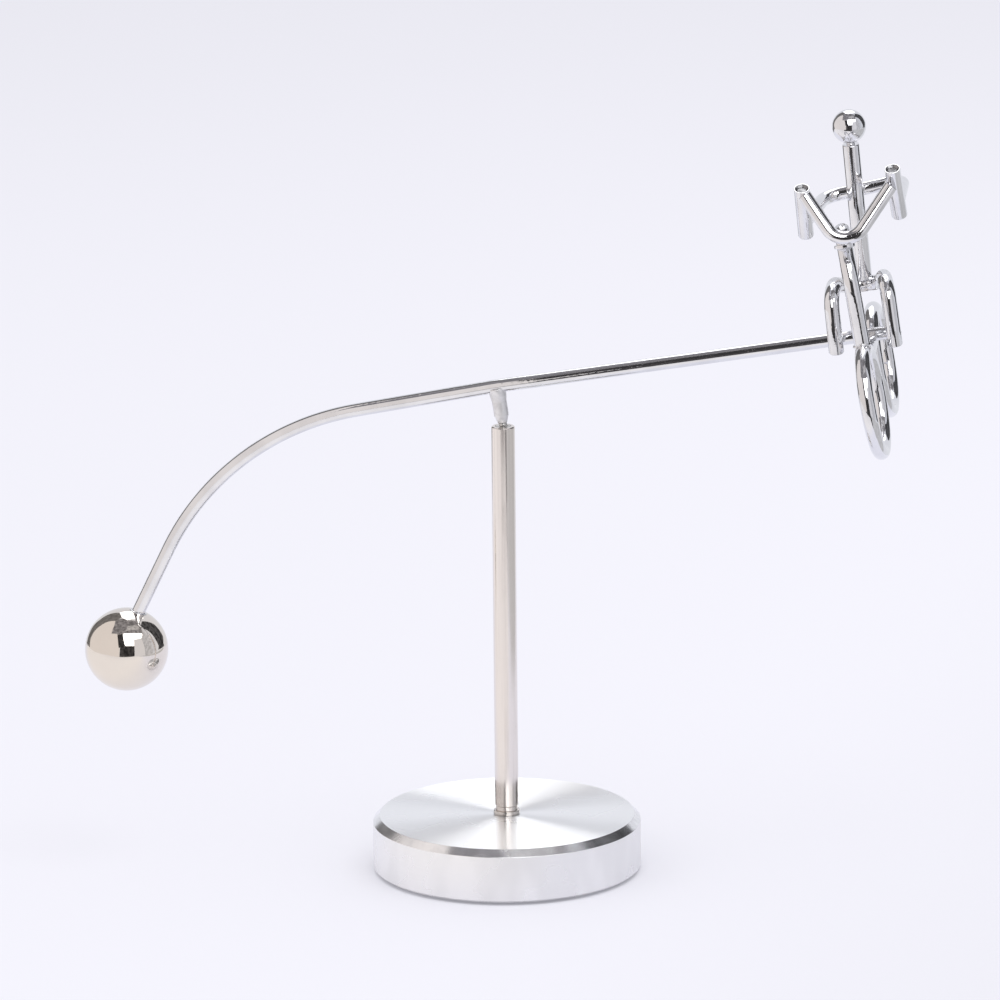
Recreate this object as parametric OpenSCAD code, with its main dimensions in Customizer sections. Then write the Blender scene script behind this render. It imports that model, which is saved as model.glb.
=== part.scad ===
// Balancing cyclist: a bent beam rests on one point at the top of a post.
// A steel ball hangs at one end of the beam and a wire rider on a bicycle stands at the other.
// The origin is the middle of the underside, +Z is up and +X runs towards the bicycle.

/* [Base] */
// Diameter of the turned base disc
base_d = 80; // [60:1:120]
// Thickness of the base disc
base_h = 16; // [12:0.5:24]
// Bevel round the top edge of the base
base_bevel = 2; // [0.5:0.1:4]
// Bevel round the bottom edge of the base
base_foot_bevel = 0.6; // [0.2:0.1:1.5]
// Diameter of the soft pad under the base
pad_d = 72; // [40:1:74]
// Thickness of the pad
pad_t = 1.8; // [1.2:0.1:3]
// How far the pad stands out below the base
pad_proud = 0.8; // [0.3:0.1:1]

/* [Screw] */
// Diameter of the screw that holds the post
screw_d = 4; // [3:0.5:5]
// Length of the screw under its head
screw_len = 22; // [18:1:28]
// Diameter of the screw head
screw_head_d = 7; // [6:0.5:8.5]
// Height of the screw head
screw_head_h = 3; // [2:0.25:3.5]
// Width across the flats of the socket in the head
screw_key = 2.5; // [1.5:0.25:3]
// Depth of the pocket for the screw head
screw_pocket = 4; // [3.6:0.2:6]
// Gap all round the screw where it passes through
screw_gap = 0.25; // [0.1:0.05:0.5]

/* [Post] */
// Diameter of the post
post_d = 7; // [6.6:0.1:10]
// Length of the post
post_len = 117.8; // [80:0.1:160]
// Diameter of the neck at the foot of the post
neck_d = 6.5; // [6:0.1:6.6]
// Height of the neck
neck_h = 1.2; // [0.5:0.1:3]
// Diameter of the ring under the post
foot_ring_d = 7.9; // [7.4:0.1:14]
// Height of the ring under the post
foot_ring_h = 1.3; // [0.8:0.1:3]
// Bevel on the ends of the post and the edges of the ring
edge = 0.3; // [0.1:0.05:0.4]

/* [Pivot] */
// Diameter of the loose seat in the top of the post
cup_d = 4.6; // [4:0.1:5.2]
// Height of the seat
cup_h = 2.6; // [2.2:0.1:4]
// Diameter of the ball that the arm rests on
point_d = 2.4; // [2:0.1:2.6]
// Clearance of each turning surface of the pivot
pivot_fit = 0.05; // [0.02:0.01:0.1]
// How far the top of the post lies below the middle of the point
rim_drop = 0.3; // [0.2:0.05:0.5]
// Mouth of the cone in the seat
cup_mouth_d = 3.4; // [2.8:0.1:3.8]
// Depth of the cone in the seat
cup_mouth_h = 0.45; // [0.2:0.05:0.6]
// Diameter of the peg under the beam
peg_d = 4.3; // [3.8:0.1:6]
// Diameter of the peg where it flares into the beam
peg_flare_d = 5.3; // [4.4:0.1:7]
// Height of the flare
peg_flare_h = 4.5; // [2:0.1:5]
// Diameter of the cut end of the peg
peg_tip_d = 2.7; // [2.5:0.1:3.2]
// Height of the cut end above the middle of the point
peg_tip_rise = 0.7; // [0.6:0.05:1]
// Height of the taper at the end of the peg
peg_taper_h = 2.3; // [1.5:0.1:3]

/* [Beam] */
// Diameter of the beam
beam_d = 4; // [3:0.1:5]
// Height of the beam's middle over the pivot, square to the beam
beam_rise = 11.9; // [11:0.1:16]
// Rise of the beam towards the bicycle, in degrees
beam_tilt = 8.7; // [0:0.1:15]
// Length of the beam from the peg to its end at the bicycle
beam_right = 120; // [119:0.5:135]
// Slight bend in the beam at the peg, in degrees
peg_set = 1.9; // [0.5:0.1:5]
// Radius of the slight bend at the peg
peg_set_r = 120; // [60:5:300]
// Straight length from the peg to the start of the main bend
beam_left = 42.5; // [30:0.5:60]
// Radius of the main bend
bend_r = 79.5; // [40:0.5:110]
// Angle of the main bend, in degrees
bend_angle = 53.5; // [30:0.5:75]
// Straight length from the main bend to the ball
tail_len = 21.2; // [10:0.1:45]

/* [Counterweight] */
// Diameter of the counterweight ball
ball_d = 24.9; // [18:0.1:35]
// Depth of the beam in the ball
ball_hole = 7; // [4:0.5:10]
// How far the hole misses the middle of the ball
ball_hole_off = 1.7; // [0:0.1:3]

/* [Bicycle] */
// Distance from the peg to the middle plane of the bicycle
bike_reach = 110.8; // [90:0.1:112]
// How far the middle of the bicycle lies behind the beam, which balances the rider
bike_back = 2.9; // [0:0.1:5]
// Sideways lean of the bicycle towards the post, in degrees
bike_lean = 2; // [0:0.5:5]
// Distance between the wheel centres
wheelbase = 52; // [46:0.5:60]
// Outside diameter of a wheel ring
wheel_d = 35; // [30:0.5:40]
// Wire diameter of a wheel ring
wheel_wire = 4.5; // [3.5:0.1:5.5]
// How far the wheel centres lie below the beam
wheel_drop = 14.4; // [12:0.1:18]
// Turn of each wheel ring about its upright, in degrees
wheel_turn = 1.5; // [0:0.5:4]
// Diameter of the bar between the wheels
frame_bar_d = 4; // [3:0.1:4.4]
// Diameter of the steering tube
steer_d = 4.7; // [4:0.1:5.5]
// Length of the steering tube
steer_len = 36; // [30:0.5:44]
// Lean of the steering tube towards the rider, in degrees
steer_rake = 9; // [0:0.5:15]
// Overlap of the steering tube's foot over the wheel
steer_seat = 0.7; // [0.3:0.1:1.2]
// Diameter of the ring under the handlebar
stem_ring_d = 6.2; // [5.8:0.1:9]
// Height of the ring under the handlebar
stem_ring_h = 1.2; // [0.8:0.1:2.5]
// Diameter of the handlebar wire
bar_d = 4; // [3:0.1:4.5]
// Height of the handlebar's corner up the steering tube
bar_up = 27; // [25:0.1:32]
// Bend radius at the handlebar's corner
bar_bend_r = 6.2; // [4.5:0.1:8]
// Half the distance between the ends of the handlebar
bar_half = 12.7; // [11:0.1:16]
// Rise of the handlebar's ends over its corner
bar_rise = 18.4; // [14:0.1:20]
// How far the handlebar's ends are bent to the side
bar_shift = 4.1; // [0:0.1:6]
// Roll of the handlebar's ends, in degrees
bar_roll = 3.8; // [0:0.1:8]
// Diameter of a grip
grip_d = 4.6; // [4:0.1:5.5]
// Length of a grip
grip_len = 17.4; // [14:0.1:22]
// Length of the left grip above the handlebar
grip_over_left = 1.6; // [1:0.1:6]
// Length of the right grip above the handlebar
grip_over_right = 5.1; // [1:0.1:7]
// How far a grip lies outside the end of the handlebar
grip_out = 0.8; // [0:0.1:1.5]
// Forward lean of the grips, in degrees
grip_lean = 25; // [10:1:35]
// Outward splay of the grips' lower ends, in degrees
grip_splay = 1.8; // [0:0.1:5]

/* [Rider] */
// Sideways lean of the rider on the bicycle, in degrees
rider_lean = 3.7; // [0:0.1:6]
// Forward lean of the torso, in degrees
torso_lean = 6.5; // [0:0.5:12]
// Diameter of the torso
torso_d = 5; // [4:0.1:6]
// Length of the torso
torso_len = 41.7; // [36:0.1:46]
// Diameter of the head
head_d = 10; // [8:0.5:13]
// Diameter of the stud that holds the head
neck_stud_d = 2.4; // [1.6:0.1:3]
// Depth of the stud in the torso
neck_stud_h = 3; // [2:0.5:5]
// Height of the neck that shows
neck_gap = 0.4; // [0.2:0.1:1.5]
// Diameter of the arm wire
arm_d = 4; // [3:0.1:4.5]
// Height of the shoulders up the torso
shoulder_up = 25.8; // [22:0.1:30]
// Half the distance between the arms at the shoulders
shoulder_half = 11.9; // [10:0.1:14]
// How far the shoulders sit towards the end of the beam
shoulder_shift = 2.4; // [0:0.1:3]
// Roll of the shoulders, in degrees
shoulder_roll = 4.6; // [0:0.1:8]
// Bend radius at the shoulders
shoulder_bend_r = 5.5; // [4:0.1:7]
// Height of the hands up the grips
hand_up = 4.8; // [4:0.1:9]
// Diameter of the leg wire
leg_d = 4.5; // [3.5:0.1:5]
// Half the distance between the feet
foot_half = 8.7; // [7.5:0.1:10.5]
// How far the middle between the feet lies short of the bicycle's middle plane
foot_shift = 0.8; // [0:0.1:1.5]
// Length of the legs below the middle of the beam
foot_below = 2.9; // [2:0.1:5]
// Half the distance between the knees
knee_half = 8.3; // [7.5:0.1:10.5]
// Height of the knees' corners above the beam
knee_up = 19.3; // [17:0.1:26]
// Roll of the knees, in degrees
knee_roll = 2; // [0:0.5:4]
// How far the knees' corners lie in front of the beam
knee_front = 11; // [6:0.5:14]
// Bend radius at the knees
knee_bend_r = 4.5; // [3.5:0.1:6]
// Half the width of the hips
hip_half = 4.2; // [3.8:0.1:5.5]
// Bend radius at the hips
hip_bend_r = 4; // [3.2:0.1:4.5]
// How far the hips lie behind the beam
hip_back = 15.5; // [12:0.1:18]
// Height of the hips above the beam
hip_up = 12; // [8:0.1:14]

/* [Hidden] */
$fn = 72;
// Overlap that lets a cut run clear of a face
cut = 1;
// Clearance of a screw thread or a stud in its hole
thread_fit = 0.05;
// Space past the end of a screw or stud in its blind hole
hole_spare = 1.5;
// A bent wire comes out a hair thicker in its bends.
bend_swell = 0.01;
// How far a straight leg of a wire reaches into its bend
bend_seat = 0.05;
pad_recess = pad_t - pad_proud;
base_top = pad_proud + base_h;
screw_seat = pad_proud + pad_recess + screw_pocket;
screw_tip = screw_seat + screw_len;
post_foot = base_top + foot_ring_h;
post_top = post_foot + post_len;
pivot_z = post_top + rim_drop;
point_r = point_d / 2;
seat_r = point_r + pivot_fit;
pocket_d = cup_d + 2 * pivot_fit;
cup_bottom = post_top - cup_h;

// Points in the arm's own frame: x along the beam, y towards the back, z square to the beam.
tail_angle = peg_set + bend_angle;
bend_reach = bend_r * tan(bend_angle / 2);
peg_foot = [0, 0, beam_rise];
bend_corner = peg_foot + (beam_left + bend_reach) * [-cos(peg_set), 0, -sin(peg_set)];
tail_dir = [-cos(tail_angle), 0, -sin(tail_angle)];
tail_side = [sin(tail_angle), 0, -cos(tail_angle)];
ball_r = ball_d / 2;
ball_face = bend_corner + (bend_reach + tail_len) * tail_dir;
ball_deep = sqrt(ball_r * ball_r - ball_hole_off * ball_hole_off);
ball_middle = ball_face + ball_deep * tail_dir + ball_hole_off * tail_side;
tail_end = ball_face + ball_hole * tail_dir;

// The bicycle's own frame: x across it, y towards its rear and z up, from the beam's middle
function bike_dir(v) = [
    v.x * cos(bike_lean) - v.z * sin(bike_lean),
    v.y,
    v.x * sin(bike_lean) + v.z * cos(bike_lean)
];
function bike(p) = [bike_reach, bike_back, beam_rise] + bike_dir(p);
ring_r = (wheel_d - wheel_wire) / 2;
front_hub = [0, -wheelbase / 2, -wheel_drop];
rear_hub = [0, wheelbase / 2, -wheel_drop];
frame_bar_z = -(beam_d + frame_bar_d) / 2;
frame_bar_reach = sqrt(ring_r * ring_r - (frame_bar_z + wheel_drop) * (frame_bar_z + wheel_drop));

steer_dir = [0, sin(steer_rake), cos(steer_rake)];
steer_front = [0, -cos(steer_rake), sin(steer_rake)];
steer_foot = front_hub + (ring_r + wheel_wire / 2 - steer_seat) * [0, 0, 1];
bar_corner = steer_foot + (steer_d + bar_d) / 2 * steer_front + bar_up * steer_dir;
bar_middle = bar_corner + [bar_shift, 0, 0] + bar_rise * steer_dir;
bar_side = bar_half * [cos(bar_roll), 0, -sin(bar_roll)];
function bar_end(i) = bike(bar_middle + (2 * i - 1) * bar_side);

// A grip's direction, from its lower end to its cut top, for side 0 or 1
function grip_dir(i) = unit([tan(rider_lean - (2 * i - 1) * grip_splay), -tan(grip_lean), 1]);
// The grip lies behind the handlebar's end and a little outside it.
grip_behind = 0.35 * (bar_d + grip_d);
grip_over = [grip_over_left, grip_over_right];
function grip_top(i) = bar_end(i) + [(2 * i - 1) * grip_out, grip_behind, 0] + grip_over[i] * grip_dir(i);
function grip_foot(i) = grip_top(i) - grip_len * grip_dir(i);
function hand(i) = grip_foot(i) + hand_up * grip_dir(i);

foot_middle = bike_reach - foot_shift;
leg_front = -(beam_d + leg_d) / 2;
// The middle of the rider at a height over the beam
function rider_x(up) = foot_middle + up * tan(rider_lean);
function foot(side) = [foot_middle + side * foot_half, leg_front, beam_rise - foot_below];
function knee(side) = [
    rider_x(knee_up) + side * knee_half,
    -knee_front,
    beam_rise + knee_up + side * knee_half * tan(knee_roll)
];
hip_middle = [rider_x(hip_up), hip_back, beam_rise + hip_up];
function hip(side) = hip_middle + side * [hip_half, 0, 0];
torso_dir = unit([tan(rider_lean), -tan(torso_lean), 1]);
torso_foot = hip_middle + leg_d / 2 * 0.85 * torso_dir;
torso_top = torso_foot + torso_len * torso_dir;
head_middle = torso_top + (head_d / 2 + neck_gap) * torso_dir;
shoulder_dir = [cos(shoulder_roll), 0, sin(shoulder_roll)];
shoulder_back = unit(cross(torso_dir, shoulder_dir));
shoulder_middle = torso_foot + shoulder_up * torso_dir
    + (torso_d + arm_d) / 2 * shoulder_back + shoulder_shift * shoulder_dir;
function shoulder(side) = shoulder_middle + side * shoulder_half * shoulder_dir;

leg_path = [foot(-1), knee(-1), hip(-1), hip(1), knee(1), foot(1)];
leg_bends = [knee_bend_r, hip_bend_r, hip_bend_r, knee_bend_r];
arm_path = [hand(0), shoulder(-1), shoulder(1), hand(1)];
arm_bends = [shoulder_bend_r, shoulder_bend_r];
bar_path = [bar_end(0), bike(bar_corner), bar_end(1)];
// The ring sits under the lowest point of the handlebar's bend.
bar_sag = bar_bend_r * (1 / cos(turn_at(bar_path, 1) / 2) - 1);
stem_ring_up = bar_up + bar_sag - bar_d / 2 - stem_ring_h;
beam_path = [[beam_right, 0, beam_rise], peg_foot, bend_corner, tail_end];

function unit(v) = v / norm(v);

// Direction of a path's leg i, and the angle and plane of its bend at corner i
function leg_dir(path, i) = unit(path[i + 1] - path[i]);
function turn_at(path, i) = acos(leg_dir(path, i - 1) * leg_dir(path, i));
function plane_at(path, i) = cross(leg_dir(path, i - 1), leg_dir(path, i));
// The plane that along() starts a path in
function plane_first(path) = let (d = leg_dir(path, 0), w = atan2(d.y, d.x)) [-sin(w), cos(w), 0];
// How far the wire is turned about itself before the bend at corner i
function twist_at(path, i) = let (
    a = i == 1 ? plane_first(path) : plane_at(path, i - 1),
    b = plane_at(path, i)
) atan2(cross(a, b) * leg_dir(path, i - 1), a * b);
// Length that the bend at corner i takes from each leg beside it
function bend_take(path, bends, i) =
    i == 0 || i == len(path) - 1 ? 0 : bends[i - 1] * tan(turn_at(path, i) / 2);

// Turns the z axis to a direction and moves the origin to a point.
module along(point, dir) {
    flat = norm([dir.x, dir.y]);
    translate(point) rotate([0, atan2(flat, dir.z), atan2(dir.y, dir.x)]) children();
}

module rod(from, to, d) {
    along(from, to - from) cylinder(h = norm(to - from), d = d);
}

// One straight leg of a wire and its bend, and from there the rest of the wire.
// The leg runs up the z axis and the bend turns it towards the x axis.
module wire_leg(path, bends, d, i) {
    length = norm(path[i + 1] - path[i]) - bend_take(path, bends, i) - bend_take(path, bends, i + 1);
    low = i == 0 ? 0 : bend_seat;
    high = i == len(path) - 2 ? 0 : bend_seat;
    translate([0, 0, -low]) cylinder(h = length + low + high, d = d);
    if (i < len(path) - 2) {
        r = bends[i];
        turn = turn_at(path, i + 1);
        translate([0, 0, length]) rotate([0, 0, twist_at(path, i + 1)])
            translate([r, 0, 0]) rotate([90, 0, 180]) {
                rotate_extrude(angle = turn) translate([r, 0]) circle(d = d + 2 * bend_swell);
                rotate([0, 0, turn]) translate([r, 0, 0]) rotate([90, 0, 180])
                    wire_leg(path, bends, d, i + 1);
            }
    }
}

// A round wire along a path of corners, each with its own bend radius
module wire(path, bends, d) {
    along(path[0], path[1] - path[0]) wire_leg(path, bends, d, 0);
}

module in_arm() {
    translate([0, 0, pivot_z]) rotate([0, -beam_tilt, 0]) children();
}

// A disc with its top and bottom edges bevelled
module bevelled_disc(d, h, low, high) {
    rotate_extrude() polygon([
        [0, 0], [d / 2 - low, 0], [d / 2, low], [d / 2, h - high], [d / 2 - high, h], [0, h]
    ]);
}

// A rod with a rounded top
module domed_rod(d, h) {
    r = d / 2;
    rotate_extrude() polygon(concat(
        [[0, 0], [r, 0]],
        [for (a = [0:15:75]) [r * cos(a), h - r + r * sin(a)]],
        [[0, h]]
    ));
}

module base_disc() {
    color("gainsboro") difference() {
        translate([0, 0, pad_proud]) bevelled_disc(base_d, base_h, base_foot_bevel, base_bevel, $fn = 180);
        translate([0, 0, -cut]) cylinder(h = pad_proud + pad_recess + cut, d = pad_d + 2 * thread_fit, $fn = 180);
        cylinder(h = screw_seat, d = screw_head_d + 4 * screw_gap);
        cylinder(h = base_top + cut, d = screw_d + 2 * screw_gap);
    }
}

module base_pad() {
    color("dimgray") cylinder(h = pad_t, d = pad_d, $fn = 180);
}

module base_screw() {
    color("silver") difference() {
        union() {
            translate([0, 0, screw_seat - screw_head_h]) cylinder(h = screw_head_h, d = screw_head_d);
            translate([0, 0, screw_seat]) cylinder(h = screw_len - screw_d / 4, d = screw_d);
            translate([0, 0, screw_tip - screw_d / 4]) cylinder(h = screw_d / 4, d1 = screw_d, d2 = screw_d / 2);
        }
        translate([0, 0, screw_seat - screw_head_h - cut])
            cylinder(h = screw_head_h / 2 + cut, d = screw_key / cos(30), $fn = 6);
    }
}

module foot_ring() {
    color("silver") difference() {
        translate([0, 0, base_top]) bevelled_disc(foot_ring_d, foot_ring_h, edge, edge);
        translate([0, 0, base_top - cut]) cylinder(h = foot_ring_h + 2 * cut, d = screw_d + 2 * screw_gap);
    }
}

module post() {
    color("silver") difference() {
        union() {
            translate([0, 0, post_foot]) cylinder(h = neck_h, d = neck_d);
            translate([0, 0, post_foot + neck_h]) bevelled_disc(post_d, post_len - neck_h, edge, edge);
        }
        translate([0, 0, cup_bottom - pivot_fit]) cylinder(h = cup_h + cut, d = pocket_d);
        translate([0, 0, post_foot - cut])
            cylinder(h = screw_tip - post_foot + hole_spare + cut, d = screw_d + 2 * thread_fit);
    }
}

module pivot_cup() {
    color("lightgray") difference() {
        translate([0, 0, cup_bottom]) bevelled_disc(cup_d, cup_h, edge / 2, edge / 2);
        translate([0, 0, pivot_z]) sphere(r = seat_r);
        translate([0, 0, post_top - cup_mouth_h]) cylinder(
            h = cup_mouth_h + cut,
            d1 = 2 * seat_r * 0.7,
            d2 = 2 * seat_r * 0.7 + (cup_mouth_d - 2 * seat_r * 0.7) * (cup_mouth_h + cut) / cup_mouth_h
        );
    }
}

module pivot_ball() {
    color("silver") translate([0, 0, pivot_z]) sphere(r = point_r);
}

module beam_rod() {
    color("silver") in_arm() wire(beam_path, [peg_set_r, bend_r], beam_d);
}

module pivot_peg() {
    taper_top = peg_tip_rise + peg_taper_h;
    flare_top = beam_rise;
    color("gainsboro") in_arm() difference() {
        union() {
            translate([0, 0, peg_tip_rise]) cylinder(h = peg_taper_h, d1 = peg_tip_d, d2 = peg_d);
            translate([0, 0, taper_top]) cylinder(h = flare_top - peg_flare_h - taper_top, d = peg_d);
            translate([0, 0, flare_top - peg_flare_h])
                cylinder(h = peg_flare_h - beam_d / 4, d1 = peg_d, d2 = peg_flare_d);
        }
        sphere(r = seat_r);
        wire(beam_path, [peg_set_r, bend_r], beam_d);
        translate([0, 0, beam_rise]) cube([2 * peg_flare_d, 2 * peg_flare_d, beam_d], center = true);
    }
}

module counterweight_ball() {
    color("silver") in_arm() difference() {
        translate(ball_middle) sphere(d = ball_d);
        along(tail_end, -tail_dir) cylinder(h = ball_hole + ball_r, d = beam_d + 2 * thread_fit);
    }
}

module in_bike() {
    in_arm() translate([bike_reach, bike_back, beam_rise]) rotate([0, -bike_lean, 0]) children();
}

// A wheel ring stands upright in the bicycle's frame.
module wheel_ring(hub) {
    translate(hub) rotate([0, 90, -wheel_turn]) rotate_extrude() translate([ring_r, 0]) circle(d = wheel_wire);
}

module front_wheel() {
    color("silver") in_bike() wheel_ring(front_hub);
}

module rear_wheel() {
    color("silver") in_bike() wheel_ring(rear_hub);
}

// The bar passes under the beam, and each end is shaped to its wheel.
module frame_bar() {
    color("silver") in_bike() difference() {
        rod(
            [0, front_hub.y + frame_bar_reach, frame_bar_z],
            [0, rear_hub.y - frame_bar_reach, frame_bar_z],
            frame_bar_d
        );
        wheel_ring(front_hub);
        wheel_ring(rear_hub);
    }
}

// The tube sits astride the front wheel and ends in a dome.
module steering_tube() {
    color("silver") in_bike() difference() {
        along(steer_foot, steer_dir) domed_rod(steer_d, steer_len);
        wheel_ring(front_hub);
    }
}

module stem_ring() {
    color("silver") in_bike() along(steer_foot + stem_ring_up * steer_dir, steer_dir) difference() {
        bevelled_disc(stem_ring_d, stem_ring_h, edge, edge);
        translate([0, 0, -cut]) cylinder(h = stem_ring_h + 2 * cut, d = steer_d + 2 * thread_fit);
    }
}

// Each end of the handlebar is shaped to its grip.
module handlebar() {
    color("silver") in_arm() difference() {
        wire(bar_path, [bar_bend_r], bar_d);
        rod(grip_foot(0), grip_top(0), grip_d);
        rod(grip_foot(1), grip_top(1), grip_d);
    }
}

module grip(i) {
    in_arm() along(grip_foot(i), grip_dir(i)) bevelled_disc(grip_d, grip_len, 2 * edge, edge / 2);
}

module grip_left() {
    color("silver") grip(0);
}

module grip_right() {
    color("silver") grip(1);
}

module leg_wire() {
    wire(leg_path, leg_bends, leg_d);
}

module torso() {
    color("silver") in_arm() difference() {
        along(torso_foot, torso_dir) bevelled_disc(torso_d, torso_len, edge / 2, edge);
        along(torso_top - (neck_stud_h + hole_spare / 3) * torso_dir, torso_dir)
            cylinder(h = neck_stud_h + cut, d = neck_stud_d + 2 * thread_fit);
        leg_wire();
    }
}

module head_ball() {
    color("silver") in_arm() {
        translate(head_middle) sphere(d = head_d);
        along(torso_top - neck_stud_h * torso_dir, torso_dir)
            cylinder(h = neck_stud_h + neck_gap + head_d / 4, d = neck_stud_d);
    }
}

// The arms run behind the torso and forward to the grips, and each hand is shaped to its grip.
module arms() {
    color("silver") in_arm() difference() {
        wire(arm_path, arm_bends, arm_d);
        rod(grip_foot(0), grip_top(0), grip_d);
        rod(grip_foot(1), grip_top(1), grip_d);
    }
}

module legs() {
    color("silver") in_arm() leg_wire();
}

base_disc();
base_pad();
base_screw();
foot_ring();
post();
pivot_cup();
pivot_ball();
beam_rod();
pivot_peg();
counterweight_ball();
front_wheel();
rear_wheel();
frame_bar();
steering_tube();
stem_ring();
handlebar();
grip_left();
grip_right();
torso();
head_ball();
arms();
legs();
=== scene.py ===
import math

import bpy
import numpy as np
from mathutils import Matrix


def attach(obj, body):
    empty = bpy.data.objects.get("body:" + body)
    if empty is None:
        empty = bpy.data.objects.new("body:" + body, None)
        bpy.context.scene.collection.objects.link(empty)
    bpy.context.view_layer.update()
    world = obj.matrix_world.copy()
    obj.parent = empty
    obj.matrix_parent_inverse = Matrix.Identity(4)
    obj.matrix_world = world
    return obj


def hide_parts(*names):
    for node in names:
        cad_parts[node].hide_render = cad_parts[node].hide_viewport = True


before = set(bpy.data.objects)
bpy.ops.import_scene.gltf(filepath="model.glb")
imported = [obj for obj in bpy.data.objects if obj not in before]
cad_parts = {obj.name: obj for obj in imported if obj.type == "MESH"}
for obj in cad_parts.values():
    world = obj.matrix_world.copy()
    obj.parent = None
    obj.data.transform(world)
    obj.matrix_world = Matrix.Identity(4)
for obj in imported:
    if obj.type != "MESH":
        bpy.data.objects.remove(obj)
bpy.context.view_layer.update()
scene = bpy.context.scene
scene.view_settings.view_transform = "Standard"
mm = 0.001
print("stage: frame loaded with", len(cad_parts), "nodes")


# Small vector helpers, in millimetres

def vec(*values):
    return np.array(values, float)


def unit(v):  # v divided by its length
    return v / np.linalg.norm(v)


def turnedAboutY(degrees):  # columns are the x, y and z axes after a turn about y
    a = math.radians(degrees)
    return np.array([[math.cos(a), 0, math.sin(a)], [0, 1, 0], [-math.sin(a), 0, math.cos(a)]])


def tanDeg(degrees):
    return math.tan(math.radians(degrees))


def axesAlong(direction):
    # z goes along the direction, x is square to it and level, y completes the three
    z = unit(np.asarray(direction, float))
    flat = vec(-z[1], z[0], 0) if math.hypot(z[0], z[1]) > 1e-6 else vec(0, 1, 0)
    y = unit(flat)
    return np.stack([np.cross(y, z), y, z], axis=1)


# Sizes of the whole toy, the same as in the solid model

stand = {
    "padProud": 0.8, "padRecess": 1.0, "padDiameter": 72.1,
    "baseDiameter": 80, "baseHeight": 16, "baseBevel": 2, "footBevel": 0.6,
    "screwHole": 4.5, "headPocket": 8, "headPocketDepth": 4,
    "ringDiameter": 7.9, "ringHeight": 1.3,
    "postDiameter": 7, "postLength": 117.8, "neckDiameter": 6.5, "neckHeight": 1.2,
    "threadHole": 4.1, "threadDepth": 12.2, "cupPocket": 4.7, "cupHeight": 2.65, "rimDrop": 0.3,
    "edge": 0.3,
}
baseTop = stand["padProud"] + stand["baseHeight"]
postFoot = baseTop + stand["ringHeight"]
postTop = postFoot + stand["postLength"]
pivot = vec(0, 0, postTop + stand["rimDrop"])

beam = {
    "diameter": 4, "rise": 11.9, "tilt": 8.7, "right": 120,
    "set": 1.9, "setRadius": 120, "left": 42.5, "bendRadius": 79.5, "bendAngle": 53.5, "tail": 21.2,
    "sway": ((-15, 12, 30, 45), (9, 3.6, 3.2, 2.4)),  # the normals turn to the left by these degrees at these x
}
ball = {"diameter": 24.9, "hole": 7, "holeOff": 1.7}
armAxes = turnedAboutY(-beam["tilt"])


def arm(p):  # a point of the arm's own frame in the row frame
    return pivot + np.asarray(p) @ armAxes.T


def armDir(d):
    return np.asarray(d) @ armAxes.T


bike = {
    "reach": 110.8, "back": 2.9, "lean": 2, "wheelbase": 52, "wheel": 35, "wire": 4.5, "drop": 14.4, "turn": 1.5,
    "bar": 4, "steer": 4.7, "steerLength": 36, "rake": 9, "seat": 0.7,
    "stemRing": 6.2, "stemRingHeight": 1.2, "ringGap": 0.05, "ringEdge": 0.3, "ringHoleEdge": 0.05,
}
bikeAxes = turnedAboutY(-bike["lean"])


def bikePoint(p):  # a point of the bicycle's own frame in the arm's frame
    return vec(bike["reach"], bike["back"], beam["rise"]) + np.asarray(p) @ bikeAxes.T


def bikeDir(d):
    return np.asarray(d) @ bikeAxes.T


# Shapes

def meshObject(name, verts, faces):  # points in metres
    mesh = bpy.data.meshes.new(name)
    mesh.from_pydata(verts.tolist(), [], faces)
    made = bpy.data.objects.new(name, mesh)
    scene.collection.objects.link(made)
    return made


def smoothShaded(piece):
    mesh = piece.data
    mesh.polygons.foreach_set("use_smooth", np.ones(len(mesh.polygons), bool))
    mesh.update()
    return piece


def gridPiece(name, rings, normals=None, poles=None, poleNormals=None, loop=False):
    # Rings of points: quad (i, t), (i, t + 1), (i + 1, t + 1), (i + 1, t).
    # A pole closes each end, or the rings run in a loop.
    count, around = rings.shape[:2]
    shift = 0 if poles is None else 1
    ids = np.arange(count * around).reshape(count, around) + shift
    low, high = (ids, np.roll(ids, -1, axis=0)) if loop else (ids[:-1], ids[1:])
    quads = np.stack([low, np.roll(low, -1, 1), np.roll(high, -1, 1), high], axis=-1).reshape(-1, 4)
    verts, faces = rings.reshape(-1, 3), quads.tolist()
    if poles is not None:
        verts = np.vstack([poles[0], verts, poles[1]])
        first, last = ids[0], ids[-1]
        fanLow = np.stack([np.zeros_like(first), np.roll(first, -1), first], axis=-1)
        fanHigh = np.stack([last, np.roll(last, -1), np.full_like(last, len(verts) - 1)], axis=-1)
        faces = faces + fanLow.tolist() + fanHigh.tolist()
    piece = smoothShaded(meshObject(name, verts * mm, faces))
    if normals is not None:
        flat = normals.reshape(-1, 3)
        if poles is not None:
            flat = np.vstack([poleNormals[0], flat, poleNormals[1]])
        piece.data.normals_split_custom_set_from_vertices(flat.tolist())
    return piece


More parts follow.
